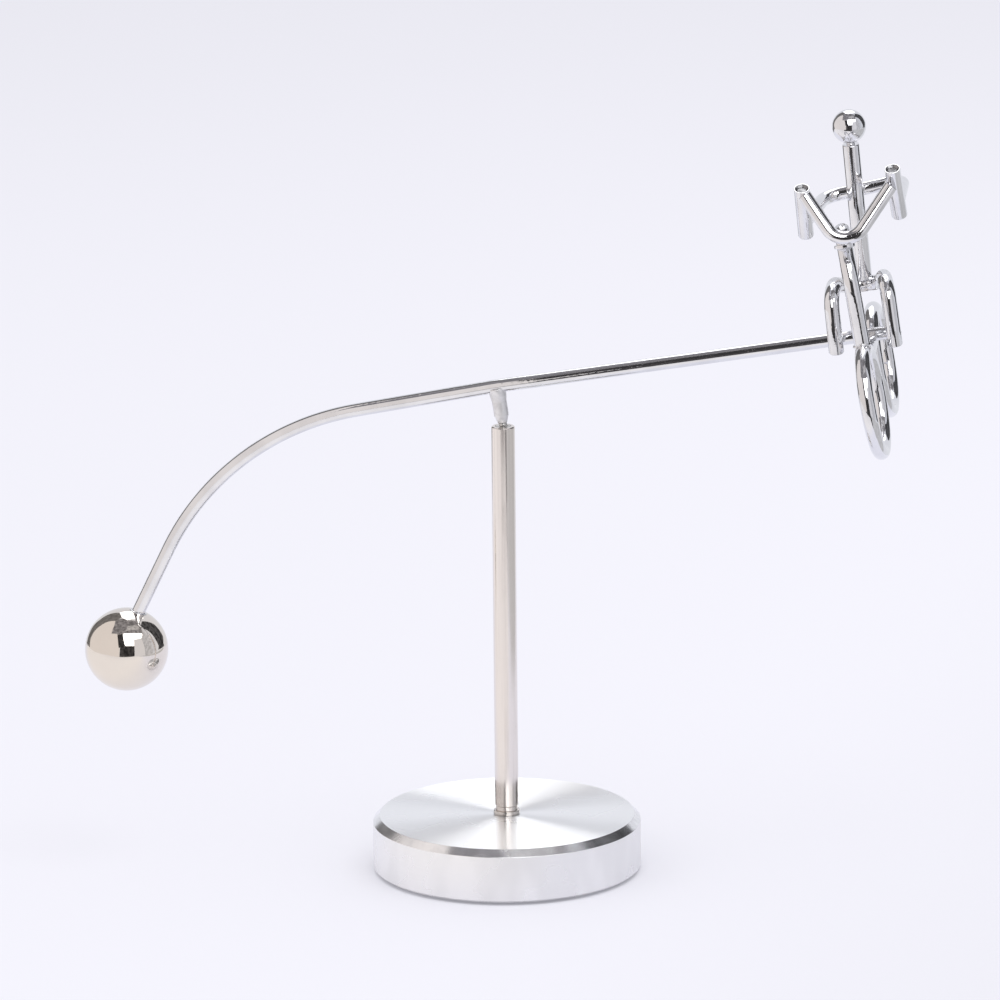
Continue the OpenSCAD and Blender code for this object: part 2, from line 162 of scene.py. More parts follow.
def roundedProfile(corners, radii, loop=False, steps=7):
    # Each corner is swapped for an arc that is tangent to both its sides.
    # The normal of a side (dr, dz) is (dz, -dr).
    p = np.asarray(corners, float)
    points, normals = [], []
    last = len(p) - 1
    for i, radius in enumerate(radii):
        if not loop and i in (0, last):
            side = unit(p[1] - p[0]) if i == 0 else unit(p[last] - p[last - 1])
            points.append(p[i][None])
            normals.append(vec(side[1], -side[0])[None])
            continue
        a, b = unit(p[i] - p[i - 1]), unit(p[(i + 1) % len(p)] - p[i])
        turn = math.atan2(a[0] * b[1] - a[1] * b[0], a @ b)
        take = radius * abs(math.tan(turn / 2))
        f = np.linspace(0, turn, steps)[:, None]
        out = vec(a[1], -a[0])
        sign = math.copysign(1, turn)
        centre = p[i] - take * a - sign * radius * out
        normal = np.cos(f) * out + np.sin(f) * a
        points.append(centre + sign * radius * normal)
        normals.append(normal)
    return np.vstack(points), np.vstack(normals)


def lathePiece(name, corners, radii, around=96, loop=False, axes=None, foot=None, steps=7, bow=None):
    # A profile (radius, height) turned about z: point = (r cos t, r sin t, h), then set on its axes at its foot.
    profile, slopes = roundedProfile(corners, radii, loop, steps)
    axes = np.eye(3) if axes is None else axes
    foot = vec(0, 0, 0) if foot is None else foot
    body = profile if loop else profile[1:-1]
    slope = slopes if loop else slopes[1:-1]
    t = np.arange(around) * 2 * np.pi / around
    c, s = np.cos(t), np.sin(t)

    def turned(rz):
        return np.stack([rz[:, :1] * c, rz[:, :1] * s, np.repeat(rz[:, 1:], around, 1)], axis=-1) @ axes.T
    poles = poleNormals = None
    if not loop:
        poles = [foot + axes @ vec(0, 0, height) for height in (profile[0, 1], profile[-1, 1])]
        ways = (-1 if slopes[0, 1] < 0 else 1, 1 if slopes[-1, 1] > 0 else -1)
        poleNormals = [axes @ vec(0, 0, way) for way in ways]
    normals = turned(slope)
    if bow is not None:  # heights and angles about the row's x axis
        normals = turnNormals(normals, (1, 0, 0), np.interp(body[:, 1], *bow))
    return gridPiece(name, turned(body) + foot, normals, poles, poleNormals, loop)


def turnNormals(normals, axis, degrees):
    # Real wire bends a little where the solid is straight, so each ring's normals turn about the axis k by its own
    # angle a: n cos a + (k x n) sin a + k (k . n)(1 - cos a). The shape stays as it is.
    a = np.radians(np.broadcast_to(degrees, len(normals)))[:, None, None]
    k = unit(np.asarray(axis, float))
    return normals * np.cos(a) + np.cross(k, normals) * np.sin(a) + k * (normals @ k)[..., None] * (1 - np.cos(a))


def wireFrames(corners, bends, legStep=3.0, arcStep=2.5):
    # Straight legs joined by arcs: on an arc the point is start + bend radius (sin a along + (1 - cos a) inward),
    # and the frame is turned only by the bends, about the axis of each.
    p = [np.asarray(c, float) for c in corners]
    along = [unit(p[i + 1] - p[i]) for i in range(len(p) - 1)]
    across = unit(np.cross(along[0], vec(0.02, 1, 0.03)))
    centres, tangents, sides = [], [], []
    start, used = p[0], 0.0
    for i, d in enumerate(along):
        take, turn = 0.0, 0.0
        if i < len(bends):
            turn = math.acos(np.clip(d @ along[i + 1], -1, 1))
            take = bends[i] * math.tan(turn / 2)
        length = np.linalg.norm(p[i + 1] - p[i]) - used - take
        f = np.linspace(0, length, max(2, int(length / legStep) + 1))[:, None]
        f = f if i == 0 else f[1:]
        centres.append(start + f * d)
        tangents.append(np.repeat(d[None], len(f), 0))
        sides.append(np.repeat(across[None], len(f), 0))
        start = start + length * d
        if i < len(bends):
            axis = unit(np.cross(d, along[i + 1]))
            inward = np.cross(axis, d)
            a = np.linspace(0, turn, max(4, int(math.degrees(turn) / arcStep)))[1:, None]
            forward, outward = np.cos(a) * d + np.sin(a) * inward, np.cos(a) * inward - np.sin(a) * d
            centres.append(start + bends[i] * (np.sin(a) * d + (1 - np.cos(a)) * inward))
            tangents.append(forward)
            sides.append((across @ inward) * outward + (across @ axis) * axis + (across @ d) * forward)
            start, across, used = centres[-1][-1], sides[-1][-1], take
    return np.vstack(centres), np.vstack(tangents), np.vstack(sides)


def wirePiece(name, corners, bends, diameter, edges=(0.3, 0.3), around=64, legStep=3.0, arcStep=2.5, bow=None,
              endSteps=9):
    # A round wire: point = centre + r (cos t side + sin t across).
    # Each end is rounded by a quarter arc of its edge radius.
    centres, tangents, sides = wireFrames(corners, bends, legStep, arcStep)
    r = diameter / 2
    lean = np.zeros(len(centres))
    radius = np.full(len(centres), r)
    for end, edge in enumerate(edges):
        f = np.linspace(0, np.pi / 2, endSteps)
        i, sign = (0, -1) if end == 0 else (-1, 1)
        inset = edge * (1 - np.cos(f))  # distance from the flat end
        ring = r - edge + edge * np.sin(f)
        spot = centres[i] - sign * inset[:, None] * tangents[i]
        heading, side = (np.repeat(rows[i][None], endSteps, 0) for rows in (tangents, sides))
        turned = (spot, heading, side, ring, sign * np.cos(f))
        pairs = zip(turned, (centres, tangents, sides, radius, lean))
        if end == 0:
            parts = [np.concatenate([new, old[1:]]) for new, old in pairs]
        else:
            parts = [np.concatenate([old[:-1], new[::-1]]) for new, old in pairs]
        centres, tangents, sides, radius, lean = parts
    across = np.cross(tangents, sides)
    t = np.arange(around) * 2 * np.pi / around
    out = np.cos(t)[None, :, None] * sides[:, None] + np.sin(t)[None, :, None] * across[:, None]
    rings = centres[:, None] + radius[:, None, None] * out
    flat = np.sqrt(np.clip(1 - lean ** 2, 0, 1))
    normals = flat[:, None, None] * out + lean[:, None, None] * tangents[:, None]
    if bow is not None:  # an axis, then a function that gives each ring's angle from its centre
        normals = turnNormals(normals, bow[0], bow[1](centres))
    return gridPiece(name, rings, normals, [centres[0], centres[-1]], [-tangents[0], tangents[-1]])


def spherePiece(name, centre, radius, axes=None, around=128, steps=64):
    # Point = centre + radius (sin a cos t, sin a sin t, -cos a), with a from the lower pole to the upper one
    axes = np.eye(3) if axes is None else axes
    a = np.linspace(0, np.pi, steps + 1)[1:-1, None]
    t = np.arange(around)[None] * 2 * np.pi / around
    out = np.stack([np.sin(a) * np.cos(t), np.sin(a) * np.sin(t), -np.cos(a) + 0 * t], axis=-1) @ axes.T
    z = axes[:, 2]
    return gridPiece(name, centre + radius * out, out, [centre - radius * z, centre + radius * z], [-z, z])


def ringPiece(name, centre, axes, ringRadius, wireRadius, around=200, tube=56):
    # A torus: point = centre + (ring radius + wire radius cos b) outward(a) + wire radius sin b axis
    a = np.arange(around) * 2 * np.pi / around
    b = np.arange(tube) * 2 * np.pi / tube
    outward = (np.cos(a)[:, None] * axes[:, 0] + np.sin(a)[:, None] * axes[:, 1])[:, None]
    normal = np.cos(b)[None, :, None] * outward + np.sin(b)[None, :, None] * axes[:, 2]
    rings = centre + ringRadius * outward + wireRadius * normal
    return gridPiece(name, rings[:, ::-1], normal[:, ::-1], loop=True)


def lumps(u, v, seed, waves=7):
    # A sum of sines of u and v with seeded directions and phases, about -1 to 1.
    # v is an angle, so its factors are whole.
    rng = np.random.default_rng(seed)
    total = np.zeros(np.broadcast(u, v).shape)
    for _ in range(waves):
        wave = rng.uniform(0.5, 3.5) * u + rng.integers(1, 5) * v + rng.uniform(0, 6.28)
        total = total + np.sin(wave) / waves ** 0.5
    return total


def beadGrid(centre, axes, sizes, seed, rough=0.08, around=36, steps=20):
    # A squashed ball with lumps: point = centre + axes (sizes * n) (1 + rough * lumps)
    a = np.linspace(0, np.pi, steps + 1)[1:-1, None]
    t = np.arange(around)[None] * 2 * np.pi / around
    swell = 1 + rough * lumps(2 * a, t, seed) * np.sin(a)
    out = np.stack([np.sin(a) * np.cos(t), np.sin(a) * np.sin(t), -np.cos(a) + 0 * t], axis=-1)
    poles = [centre - sizes[2] * axes[:, 2], centre + sizes[2] * axes[:, 2]]
    return centre + (out * np.asarray(sizes) * swell[..., None]) @ axes.T, poles


# Node trees

def addNode(tree, kind, **settings):
    node = tree.nodes.new(kind)
    for key, value in settings.items():
        if key in node.inputs:
            node.inputs[key].default_value = value
        else:
            setattr(node, key, value)
    return node


def mathNode(tree, operation, a, b=None, c=None):
    node = tree.nodes.new("ShaderNodeMath")
    node.operation = operation
    for i, value in enumerate((a, b, c)):
        if value is None:
            continue
        if isinstance(value, (int, float)):
            node.inputs[i].default_value = value
        else:
            tree.links.new(value, node.inputs[i])
    return node.outputs[0]


def rangeNode(tree, value, low, high, toLow=0.0, toHigh=1.0):
    node = tree.nodes.new("ShaderNodeMapRange")
    node.interpolation_type = "SMOOTHSTEP"
    for i, v in enumerate((value, low, high, toLow, toHigh)):
        if isinstance(v, (int, float)):
            node.inputs[i].default_value = v
        else:
            tree.links.new(v, node.inputs[i])
    return node.outputs[0]


def newGroup(name, inputs, outputs):
    group = bpy.data.node_groups.new(name, "ShaderNodeTree")
    for label, kind, value in inputs:
        socket = group.interface.new_socket(label, in_out="INPUT", socket_type=kind)
        if value is not None:
            socket.default_value = value
    for label, kind in outputs:
        group.interface.new_socket(label, in_out="OUTPUT", socket_type=kind)
    return group, group.nodes.new("NodeGroupInput"), group.nodes.new("NodeGroupOutput")


marks = {"smudgeRange": (0.35, 0.68), "scratchPatches": 90.0}  # noise from and to, and the scale of scratched areas


def makeSmudges():  # soft blotches of handling, from low to high
    group, given, made = newGroup("smudges", [
        ("Vector", "NodeSocketVector", None), ("Scale", "NodeSocketFloat", 60.0),
        ("Low", "NodeSocketFloat", 0.05), ("High", "NodeSocketFloat", 0.12),
    ], [("Value", "NodeSocketFloat"), ("Mask", "NodeSocketFloat")])
    big = addNode(group, "ShaderNodeTexNoise", Detail=3.0, Roughness=0.6)
    group.links.new(given.outputs["Vector"], big.inputs["Vector"])
    group.links.new(given.outputs["Scale"], big.inputs["Scale"])
    mask = rangeNode(group, big.outputs[0], *marks["smudgeRange"])
    group.links.new(mask, made.inputs["Mask"])
    group.links.new(rangeNode(group, mask, 0.0, 1.0, given.outputs["Low"], given.outputs["High"]),
                    made.inputs["Value"])
    return group


def makeHairlines():  # thin scratches: where a stretched noise crosses its middle value
    group, given, made = newGroup("hairlines", [
        ("Vector", "NodeSocketVector", None), ("Scale", "NodeSocketFloat", 400.0),
        ("Width", "NodeSocketFloat", 0.01), ("Share", "NodeSocketFloat", 0.5),
    ], [("Mask", "NodeSocketFloat")])
    noise = addNode(group, "ShaderNodeTexNoise", Detail=1.5, Roughness=0.5)
    group.links.new(given.outputs["Vector"], noise.inputs["Vector"])
    group.links.new(given.outputs["Scale"], noise.inputs["Scale"])
    gap = mathNode(group, "ABSOLUTE", mathNode(group, "SUBTRACT", noise.outputs[0], 0.5))
    line = rangeNode(group, gap, 0.0, given.outputs["Width"], 1.0, 0.0)
    patch = addNode(group, "ShaderNodeTexNoise", Scale=marks["scratchPatches"], Detail=1.0)
    group.links.new(given.outputs["Vector"], patch.inputs["Vector"])
    here = mathNode(group, "LESS_THAN", patch.outputs[0], given.outputs["Share"])
    group.links.new(mathNode(group, "MULTIPLY", line, here), made.inputs["Mask"])
    return group


def makePits():  # round specks, one in some of the cells of a Voronoi pattern
    group, given, made = newGroup("pits", [
        ("Vector", "NodeSocketVector", None), ("Scale", "NodeSocketFloat", 500.0),
        ("Size", "NodeSocketFloat", 0.25), ("Share", "NodeSocketFloat", 0.1),
    ], [("Mask", "NodeSocketFloat")])
    cells = addNode(group, "ShaderNodeTexVoronoi", feature="F1")
    group.links.new(given.outputs["Vector"], cells.inputs["Vector"])
    group.links.new(given.outputs["Scale"], cells.inputs["Scale"])
    spot = rangeNode(group, cells.outputs["Distance"], 0.0, given.outputs["Size"], 1.0, 0.0)
    pick = addNode(group, "ShaderNodeSeparateColor")
    group.links.new(cells.outputs["Color"], pick.inputs[0])
    here = mathNode(group, "LESS_THAN", pick.outputs[0], given.outputs["Share"])
    group.links.new(mathNode(group, "MULTIPLY", spot, here), made.inputs["Mask"])
    return group


def makeTurning():  # grooves of a lathe tool: a one-dimensional noise of the distance from the z axis
    group, given, made = newGroup("turning", [
        ("Vector", "NodeSocketVector", None), ("Pitch", "NodeSocketFloat", 0.2), ("Drift", "NodeSocketFloat", 0.0),
    ], [("Height", "NodeSocketFloat")])
    split = addNode(group, "ShaderNodeSeparateXYZ")
    group.links.new(given.outputs["Vector"], split.inputs[0])
    x, y, z = split.outputs[0], split.outputs[1], split.outputs[2]
    squares = mathNode(group, "ADD", mathNode(group, "MULTIPLY", x, x), mathNode(group, "MULTIPLY", y, y))
    drift = mathNode(group, "MULTIPLY", z, given.outputs["Drift"])
    across = mathNode(group, "ADD", mathNode(group, "SQRT", squares), drift)
    lines = addNode(group, "ShaderNodeTexNoise", noise_dimensions="1D", Scale=1.0, Detail=3.0, Roughness=0.7)
    turns = mathNode(group, "DIVIDE", mathNode(group, "MULTIPLY", across, 1000.0), given.outputs["Pitch"])
    group.links.new(turns, lines.inputs["W"])
    group.links.new(lines.outputs[0], made.inputs["Height"])
    return group


smudges, hairlines, pits, turning = makeSmudges(), makeHairlines(), makePits(), makeTurning()
print("stage: node groups made")


def useGroup(tree, group, vector, **values):
    node = tree.nodes.new("ShaderNodeGroup")
    node.node_tree = group
    tree.links.new(vector, node.inputs["Vector"])
    for key, value in values.items():
        node.inputs[key].default_value = value
    return node


def startMaterial(name, scale=(1, 1, 1)):
    mat = bpy.data.materials.new(name)
    mat.use_nodes = True
    tree = mat.node_tree
    shader = tree.nodes["Principled BSDF"]
    coords = tree.nodes.new("ShaderNodeTexCoord")
    place = addNode(tree, "ShaderNodeMapping")
    place.inputs["Scale"].default_value = scale
    tree.links.new(coords.outputs["Object"], place.inputs["Vector"])
    return mat, tree, shader, place.outputs[0]


def mixColours(tree, mask, first, second):
    node = addNode(tree, "ShaderNodeMix", data_type="RGBA")
    node.inputs[6].default_value = (*first, 1)
    node.inputs[7].default_value = (*second, 1)
    tree.links.new(mask, node.inputs[0])
    return node.outputs[2]


def setBump(tree, shader, height, distance, strength=1.0):
    bump = addNode(tree, "ShaderNodeBump", Strength=strength, Distance=distance)
    tree.links.new(height, bump.inputs["Height"])
    tree.links.new(bump.outputs[0], shader.inputs["Normal"])


def times(tree, a, b):
    return mathNode(tree, "MULTIPLY", a, b)


plating = {"speckSize": 0.22, "scratchWidth": 0.012, "scratchShare": 0.47, "scratchRough": 0.12, "smudgeDull": 0.5}


def platedMetal(name, look):
    # Plating over drawn wire: slow waves of the wire, hairline scratches, specks in the plating and smudges.
    mat, tree, shader, place = startMaterial(name)
    shader.inputs["Metallic"].default_value = 1.0
    smudge = useGroup(tree, smudges, place, Scale=look["smudgeScale"], Low=look["roughLow"], High=look["roughHigh"])
    speck = useGroup(tree, pits, place, Scale=look["speckScale"], Size=plating["speckSize"],
                     Share=look["speckShare"]).outputs["Mask"]
    scratch = useGroup(tree, hairlines, place, Scale=look["scratchScale"], Width=plating["scratchWidth"],
                       Share=plating["scratchShare"]).outputs["Mask"]
    rough = mathNode(tree, "ADD", smudge.outputs["Value"], times(tree, scratch, plating["scratchRough"]))
    tree.links.new(rough, shader.inputs["Roughness"])
    dull = mathNode(tree, "MAXIMUM", times(tree, smudge.outputs["Mask"], plating["smudgeDull"]), speck)
    tree.links.new(mixColours(tree, dull, look["clean"], look["dull"]), shader.inputs["Base Color"])
    wave = addNode(tree, "ShaderNodeTexNoise", Scale=look["waveScale"], Detail=2.0, Roughness=0.5)
    tree.links.new(place, wave.inputs["Vector"])
    worn = mathNode(tree, "ADD", times(tree, speck, look["speckDepth"]), times(tree, scratch, look["scratchDepth"]))
    height = mathNode(tree, "SUBTRACT", times(tree, wave.outputs[0], look["waveDepth"]), worn)
    setBump(tree, shader, height, mm)  # depths are in millimetres
    return mat


wireChrome = platedMetal("wireChrome", {
    "clean": (0.80, 0.80, 0.82), "dull": (0.66, 0.66, 0.68),
    "roughLow": 0.03, "roughHigh": 0.09, "smudgeScale": 110,
    "speckScale": 900, "speckShare": 0.05, "speckDepth": 0.01, "scratchScale": 500, "scratchDepth": 0.002,
    "waveScale": 260, "waveDepth": 0.045,
})
ballNickel = platedMetal("ballNickel", {
    "clean": (0.80, 0.745, 0.685), "dull": (0.74, 0.69, 0.64),
    "roughLow": 0.04, "roughHigh": 0.08, "smudgeScale": 60,
    "speckScale": 420, "speckShare": 0.03, "speckDepth": 0.01, "scratchScale": 240, "scratchDepth": 0.001,
    "waveScale": 120, "waveDepth": 0.012,
})
pivotSteel = platedMetal("pivotSteel", {
    "clean": (0.62, 0.61, 0.60), "dull": (0.40, 0.39, 0.38),
    "roughLow": 0.18, "roughHigh": 0.34, "smudgeScale": 400,
    "speckScale": 1500, "speckShare": 0.1, "speckDepth": 0.01, "scratchScale": 900, "scratchDepth": 0.002,
    "waveScale": 300, "waveDepth": 0.01,
})
pegNickel = platedMetal("pegNickel", {
    "clean": (0.80, 0.795, 0.81), "dull": (0.68, 0.675, 0.69),
    "roughLow": 0.42, "roughHigh": 0.58, "smudgeScale": 420,
    "speckScale": 1200, "speckShare": 0.06, "speckDepth": 0.01, "scratchScale": 900, "scratchDepth": 0.001,
    "waveScale": 420, "waveDepth": 0.08,
})
# Partly painted reflection: the very dark dull colour in many specks and smudges stands in for dark reflections on
# the ring, besides its real pits and stains
ringNickel = platedMetal("ringNickel", {
    "clean": (0.80, 0.76, 0.73), "dull": (0.34, 0.31, 0.29),
    "roughLow": 0.06, "roughHigh": 0.16, "smudgeScale": 420,
    "speckScale": 800, "speckShare": 0.25, "speckDepth": 0.05, "scratchScale": 700, "scratchDepth": 0.003,
    "waveScale": 620, "waveDepth": 0.34,
})
cutSteel = platedMetal("cutSteel", {
    "clean": (0.30, 0.30, 0.31), "dull": (0.17, 0.17, 0.18),
    "roughLow": 0.22, "roughHigh": 0.45, "smudgeScale": 600,
    "speckScale": 1500, "speckShare": 0.08, "speckDepth": 0.02, "scratchScale": 1200, "scratchDepth": 0.003,
    "waveScale": 600, "waveDepth": 0.04,
})
weldChrome = platedMetal("weldChrome", {
    "clean": (0.78, 0.78, 0.80), "dull": (0.55, 0.55, 0.57),
    "roughLow": 0.12, "roughHigh": 0.32, "smudgeScale": 500,
    "speckScale": 1100, "speckShare": 0.35, "speckDepth": 0.05, "scratchScale": 900, "scratchDepth": 0.002,
    "waveScale": 700, "waveDepth": 0.12,
})


def postNickel(look):
    # Nickel on a ground rod: streaks that run up the post, stains and a few specks.
    mat, tree, shader, place = startMaterial("postNickel", scale=(1, 1, look["stretch"]))
    shader.inputs["Metallic"].default_value = 1.0
    streak = addNode(tree, "ShaderNodeTexNoise", Scale=look["streakScale"], Detail=4.0, Roughness=0.65)
    tree.links.new(place, streak.inputs["Vector"])
    coords = tree.nodes.new("ShaderNodeTexCoord").outputs["Object"]
    stain = useGroup(tree, smudges, coords, Scale=look["stainScale"], Low=look["roughLow"], High=look["roughHigh"])
    speck = useGroup(tree, pits, coords, Scale=look["speckScale"], Size=look["speckSize"],
                     Share=look["speckShare"]).outputs["Mask"]
    rough = mathNode(tree, "ADD", stain.outputs["Value"], times(tree, streak.outputs[0], look["streakRough"]))
    tree.links.new(rough, shader.inputs["Roughness"])
    worn = mathNode(tree, "MAXIMUM", speck, rangeNode(tree, streak.outputs[0], *look["streakWear"]))
    tree.links.new(mixColours(tree, worn, look["clean"], look["dull"]), shader.inputs["Base Color"])
    height = mathNode(tree, "SUBTRACT", times(tree, streak.outputs[0], look["streakDepth"]),
                      times(tree, speck, look["speckDepth"]))
    setBump(tree, shader, height, mm)
    return mat


postMetal = postNickel({
    "clean": (0.81, 0.76, 0.725), "dull": (0.67, 0.62, 0.59),
    "roughLow": 0.1, "roughHigh": 0.16, "stainScale": 55,
    "streakScale": 900, "stretch": 0.02, "streakDepth": 0.006, "streakRough": 0.08,
    "streakWear": (0.45, 0.8, 0.0, 0.8),  # noise from, to, and the share of dull metal there
    "speckScale": 330, "speckSize": 0.16, "speckShare": 0.05, "speckDepth": 0.02,
})


lathe = {  # ranges are noise from, to, and the share of dull metal there
    "pitSize": 0.14, "dirtRange": (0.3, 0.75, 1.0, 0.0), "patchSquash": 0.3, "shadePatchRange": (0.4, 0.62, 0.0),
}


def turnedAluminium(name, look):
    # Turned aluminium: tool grooves round the z axis, with fine dirt in them, pits, and soft upright patches,
    # raised a little and darkened with painted reflection shade.
    mat, tree, shader, place = startMaterial(name)
    shader.inputs["Metallic"].default_value = 1.0
    groove = useGroup(tree, turning, place, Pitch=look["pitch"], Drift=look["drift"]).outputs["Height"]
    smudge = useGroup(tree, smudges, place, Scale=look["smudgeScale"], Low=look["roughLow"], High=look["roughHigh"])
    pit = useGroup(tree, pits, place, Scale=look["pitScale"], Size=lathe["pitSize"],
                   Share=look["pitShare"]).outputs["Mask"]
    tree.links.new(smudge.outputs["Value"], shader.inputs["Roughness"])
    dirt = times(tree, rangeNode(tree, groove, *lathe["dirtRange"]), look["grooveDirt"])
    dark = mathNode(tree, "MAXIMUM", pit, dirt)
    blotch = addNode(tree, "ShaderNodeTexNoise", Scale=look["patchScale"], Detail=2.0, Roughness=0.5)
    upright = addNode(tree, "ShaderNodeMapping")
    upright.inputs["Scale"].default_value = (1, 1, lathe["patchSquash"])
    tree.links.new(place, upright.inputs["Vector"])
    tree.links.new(upright.outputs[0], blotch.inputs["Vector"])
    # Painted reflection shade: soft upright patches are mixed towards the dull colour and stand in for the dimmer
    # parts of the mirrored studio
    patch = rangeNode(tree, blotch.outputs[0], *lathe["shadePatchRange"], look["shadePatchShare"])
    dark = mathNode(tree, "MAXIMUM", dark, patch)
    tree.links.new(mixColours(tree, dark, look["clean"], look["dull"]), shader.inputs["Base Color"])
    cuts = mathNode(tree, "SUBTRACT", times(tree, groove, look["grooveDepth"]), times(tree, pit, look["pitDepth"]))
    height = mathNode(tree, "ADD", cuts, times(tree, blotch.outputs[0], look["patchDepth"]))
    setBump(tree, shader, height, mm)
    return mat, tree, shader


topMetal, topTree, topShader = turnedAluminium("topMetal", {
    "clean": (0.955, 0.958, 0.965), "dull": (0.86, 0.865, 0.88),
    "roughLow": 0.27, "roughHigh": 0.31, "smudgeScale": 25,
    "pitch": 0.35, "drift": 0.0, "grooveDepth": 0.008, "grooveDirt": 0.2,
    "pitScale": 200, "pitShare": 0.0, "pitDepth": 0.0,
    "patchScale": 30, "shadePatchShare": 0.05, "patchDepth": 0.0,
})
topShader.inputs["Anisotropic"].default_value = 1.0
topShader.inputs["Anisotropic Rotation"].default_value = 0.25
radial = addNode(topTree, "ShaderNodeTangent", direction_type="RADIAL", axis="Z")
topTree.links.new(radial.outputs[0], topShader.inputs["Tangent"])
# On the side and the chamfer the upright patches are painted reflection shade
sideMetal = turnedAluminium("sideMetal", {
    "clean": (0.90, 0.89, 0.885), "dull": (0.70, 0.695, 0.69),
    "roughLow": 0.24, "roughHigh": 0.34, "smudgeScale": 45,
    "pitch": 0.5, "drift": 1.0, "grooveDepth": 0.003, "grooveDirt": 0.08,
    "pitScale": 300, "pitShare": 0.012, "pitDepth": 0.06,
    "patchScale": 75, "shadePatchShare": 0.35, "patchDepth": 0.06,
})[0]
chamferMetal = turnedAluminium("chamferMetal", {
    "clean": (0.93, 0.93, 0.945), "dull": (0.78, 0.78, 0.80),
    "roughLow": 0.16, "roughHigh": 0.28, "smudgeScale": 90,
    "pitch": 0.25, "drift": 0.7, "grooveDepth": 0.004, "grooveDirt": 0.2,
    "pitScale": 300, "pitShare": 0.02, "pitDepth": 0.03,
    "patchScale": 260, "shadePatchShare": 0.5, "patchDepth": 0.03,
})[0]


def padFoam(look):
    # Soft dark pad: a fine grain and open cells
    mat, tree, shader, place = startMaterial("padFoam")
    grain = addNode(tree, "ShaderNodeTexNoise", Scale=look["grainScale"], Detail=2.0)
    tree.links.new(place, grain.inputs["Vector"])
    hole = useGroup(tree, pits, place, Scale=look["holeScale"], Size=look["holeSize"],
                    Share=look["holeShare"]).outputs["Mask"]
    tree.links.new(mixColours(tree, hole, look["skin"], look["hole"]), shader.inputs["Base Color"])
    smudge = useGroup(tree, smudges, place, Scale=look["smudgeScale"], Low=look["roughLow"], High=look["roughHigh"])
    tree.links.new(smudge.outputs["Value"], shader.inputs["Roughness"])
    height = mathNode(tree, "SUBTRACT", times(tree, grain.outputs[0], look["grainDepth"]),
                      times(tree, hole, look["holeDepth"]))
    setBump(tree, shader, height, mm)
    return mat


padRubber = padFoam({
    "skin": (0.055, 0.056, 0.06), "hole": (0.02, 0.02, 0.022),
    "roughLow": 0.8, "roughHigh": 0.95, "smudgeScale": 70,
    "grainScale": 1400, "grainDepth": 0.06, "holeScale": 700, "holeSize": 0.4, "holeShare": 0.5, "holeDepth": 0.15,
})
print("stage: materials made")


def polygonValues(piece, key):  # one vector for each face
    values = np.zeros(len(piece.data.polygons) * 3)
    piece.data.polygons.foreach_get(key, values)
    return values.reshape(-1, 3)


def dress(piece, body, slot, material, *nodes):
    piece.data.materials.append(material)
    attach(piece, body)
    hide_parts(*nodes)


# Stand

def makeBase(edge):
    # A closed profile turned about z: hole, screw pocket, pad recess, foot bevel, side and bevel
    s = stand
    r, low, top = s["baseDiameter"] / 2, s["padProud"], baseTop
    hole, pocket, recess = s["screwHole"] / 2, s["headPocket"] / 2, s["padDiameter"] / 2
    ceiling = low + s["padRecess"]
    seat = ceiling + s["headPocketDepth"]
    corners = [
        (hole, top), (hole, seat), (pocket, seat), (pocket, ceiling), (recess, ceiling), (recess, low),
        (r - s["footBevel"], low), (r, low + s["footBevel"]), (r, top - s["baseBevel"]), (r - s["baseBevel"], top),
    ]
    rim, fine = edge["rim"], edge["fine"]
    radii = [rim, fine, fine, rim, fine, rim, fine, fine, edge["lower"], edge["upper"]]
    piece = lathePiece("baseDisc", corners, radii, around=256, loop=True)
    for mat in (topMetal, sideMetal):
        piece.data.materials.append(mat)
    # Faces that look up near the top are the turned top, slanted ones the bevel, and the rest the side
    up, z = polygonValues(piece, "normal")[:, 2], polygonValues(piece, "center")[:, 2] / mm
    isTop = (up > edge["topFacing"]) & (z > top - edge["topDepth"])
    isBevel = (up > edge["bevelFacing"]) & (z > top - edge["bevelDepth"])
    piece.data.polygons.foreach_set("material_index", np.where(isTop, 0, np.where(isBevel, 2, 1)).astype(np.int32))
    return piece


baseDisc = makeBase({
    "upper": 0.12, "lower": 0.18, "rim": 0.15, "fine": 0.1,
    # Which metal a face gets: how far it looks up (1 is level), and how far below the top it may lie
    "topFacing": 0.9, "topDepth": 0.5, "bevelFacing": 0.35, "bevelDepth": 3,
})
dress(baseDisc, "stand", "base_metal", chamferMetal, "base_disc")


def makePost(edge):
    # A closed profile turned about z: thread hole, neck, rod, and the pocket for the seat
    s = stand
    r, neck, hole, cup = s["postDiameter"] / 2, s["neckDiameter"] / 2, s["threadHole"] / 2, s["cupPocket"] / 2
    shoulder, bevel = postFoot + s["neckHeight"], s["edge"]
    ceiling, floor = postFoot + s["threadDepth"], postTop - s["cupHeight"]
    corners = [
        (0, ceiling), (hole, ceiling), (hole, postFoot), (neck, postFoot), (neck, shoulder + neck - r + bevel),
        (r, shoulder + bevel), (r, postTop - bevel), (r - bevel, postTop), (cup, postTop), (cup, floor), (0, floor),
    ]
    outer, inner = edge["outer"], edge["inner"]
    radii = [0, inner, inner, inner, outer, outer, outer, outer, edge["mouth"], inner, 0]
    return lathePiece("postRod", corners, radii, around=128)


postRod = makePost({"outer": 0.1, "inner": 0.1, "mouth": 0.06})
dress(postRod, "stand", "post_metal", postMetal, "post")


def makeFootRing(edge):
    # A square profile with rounded outer edges, turned about z
    r, hole = stand["ringDiameter"] / 2, stand["screwHole"] / 2
    corners = [(hole, postFoot), (hole, baseTop), (r, baseTop), (r, postFoot)]
    radii = [edge["inner"], edge["inner"], edge["outer"], edge["outer"]]
    return lathePiece("footRing", corners, radii, around=128, loop=True)


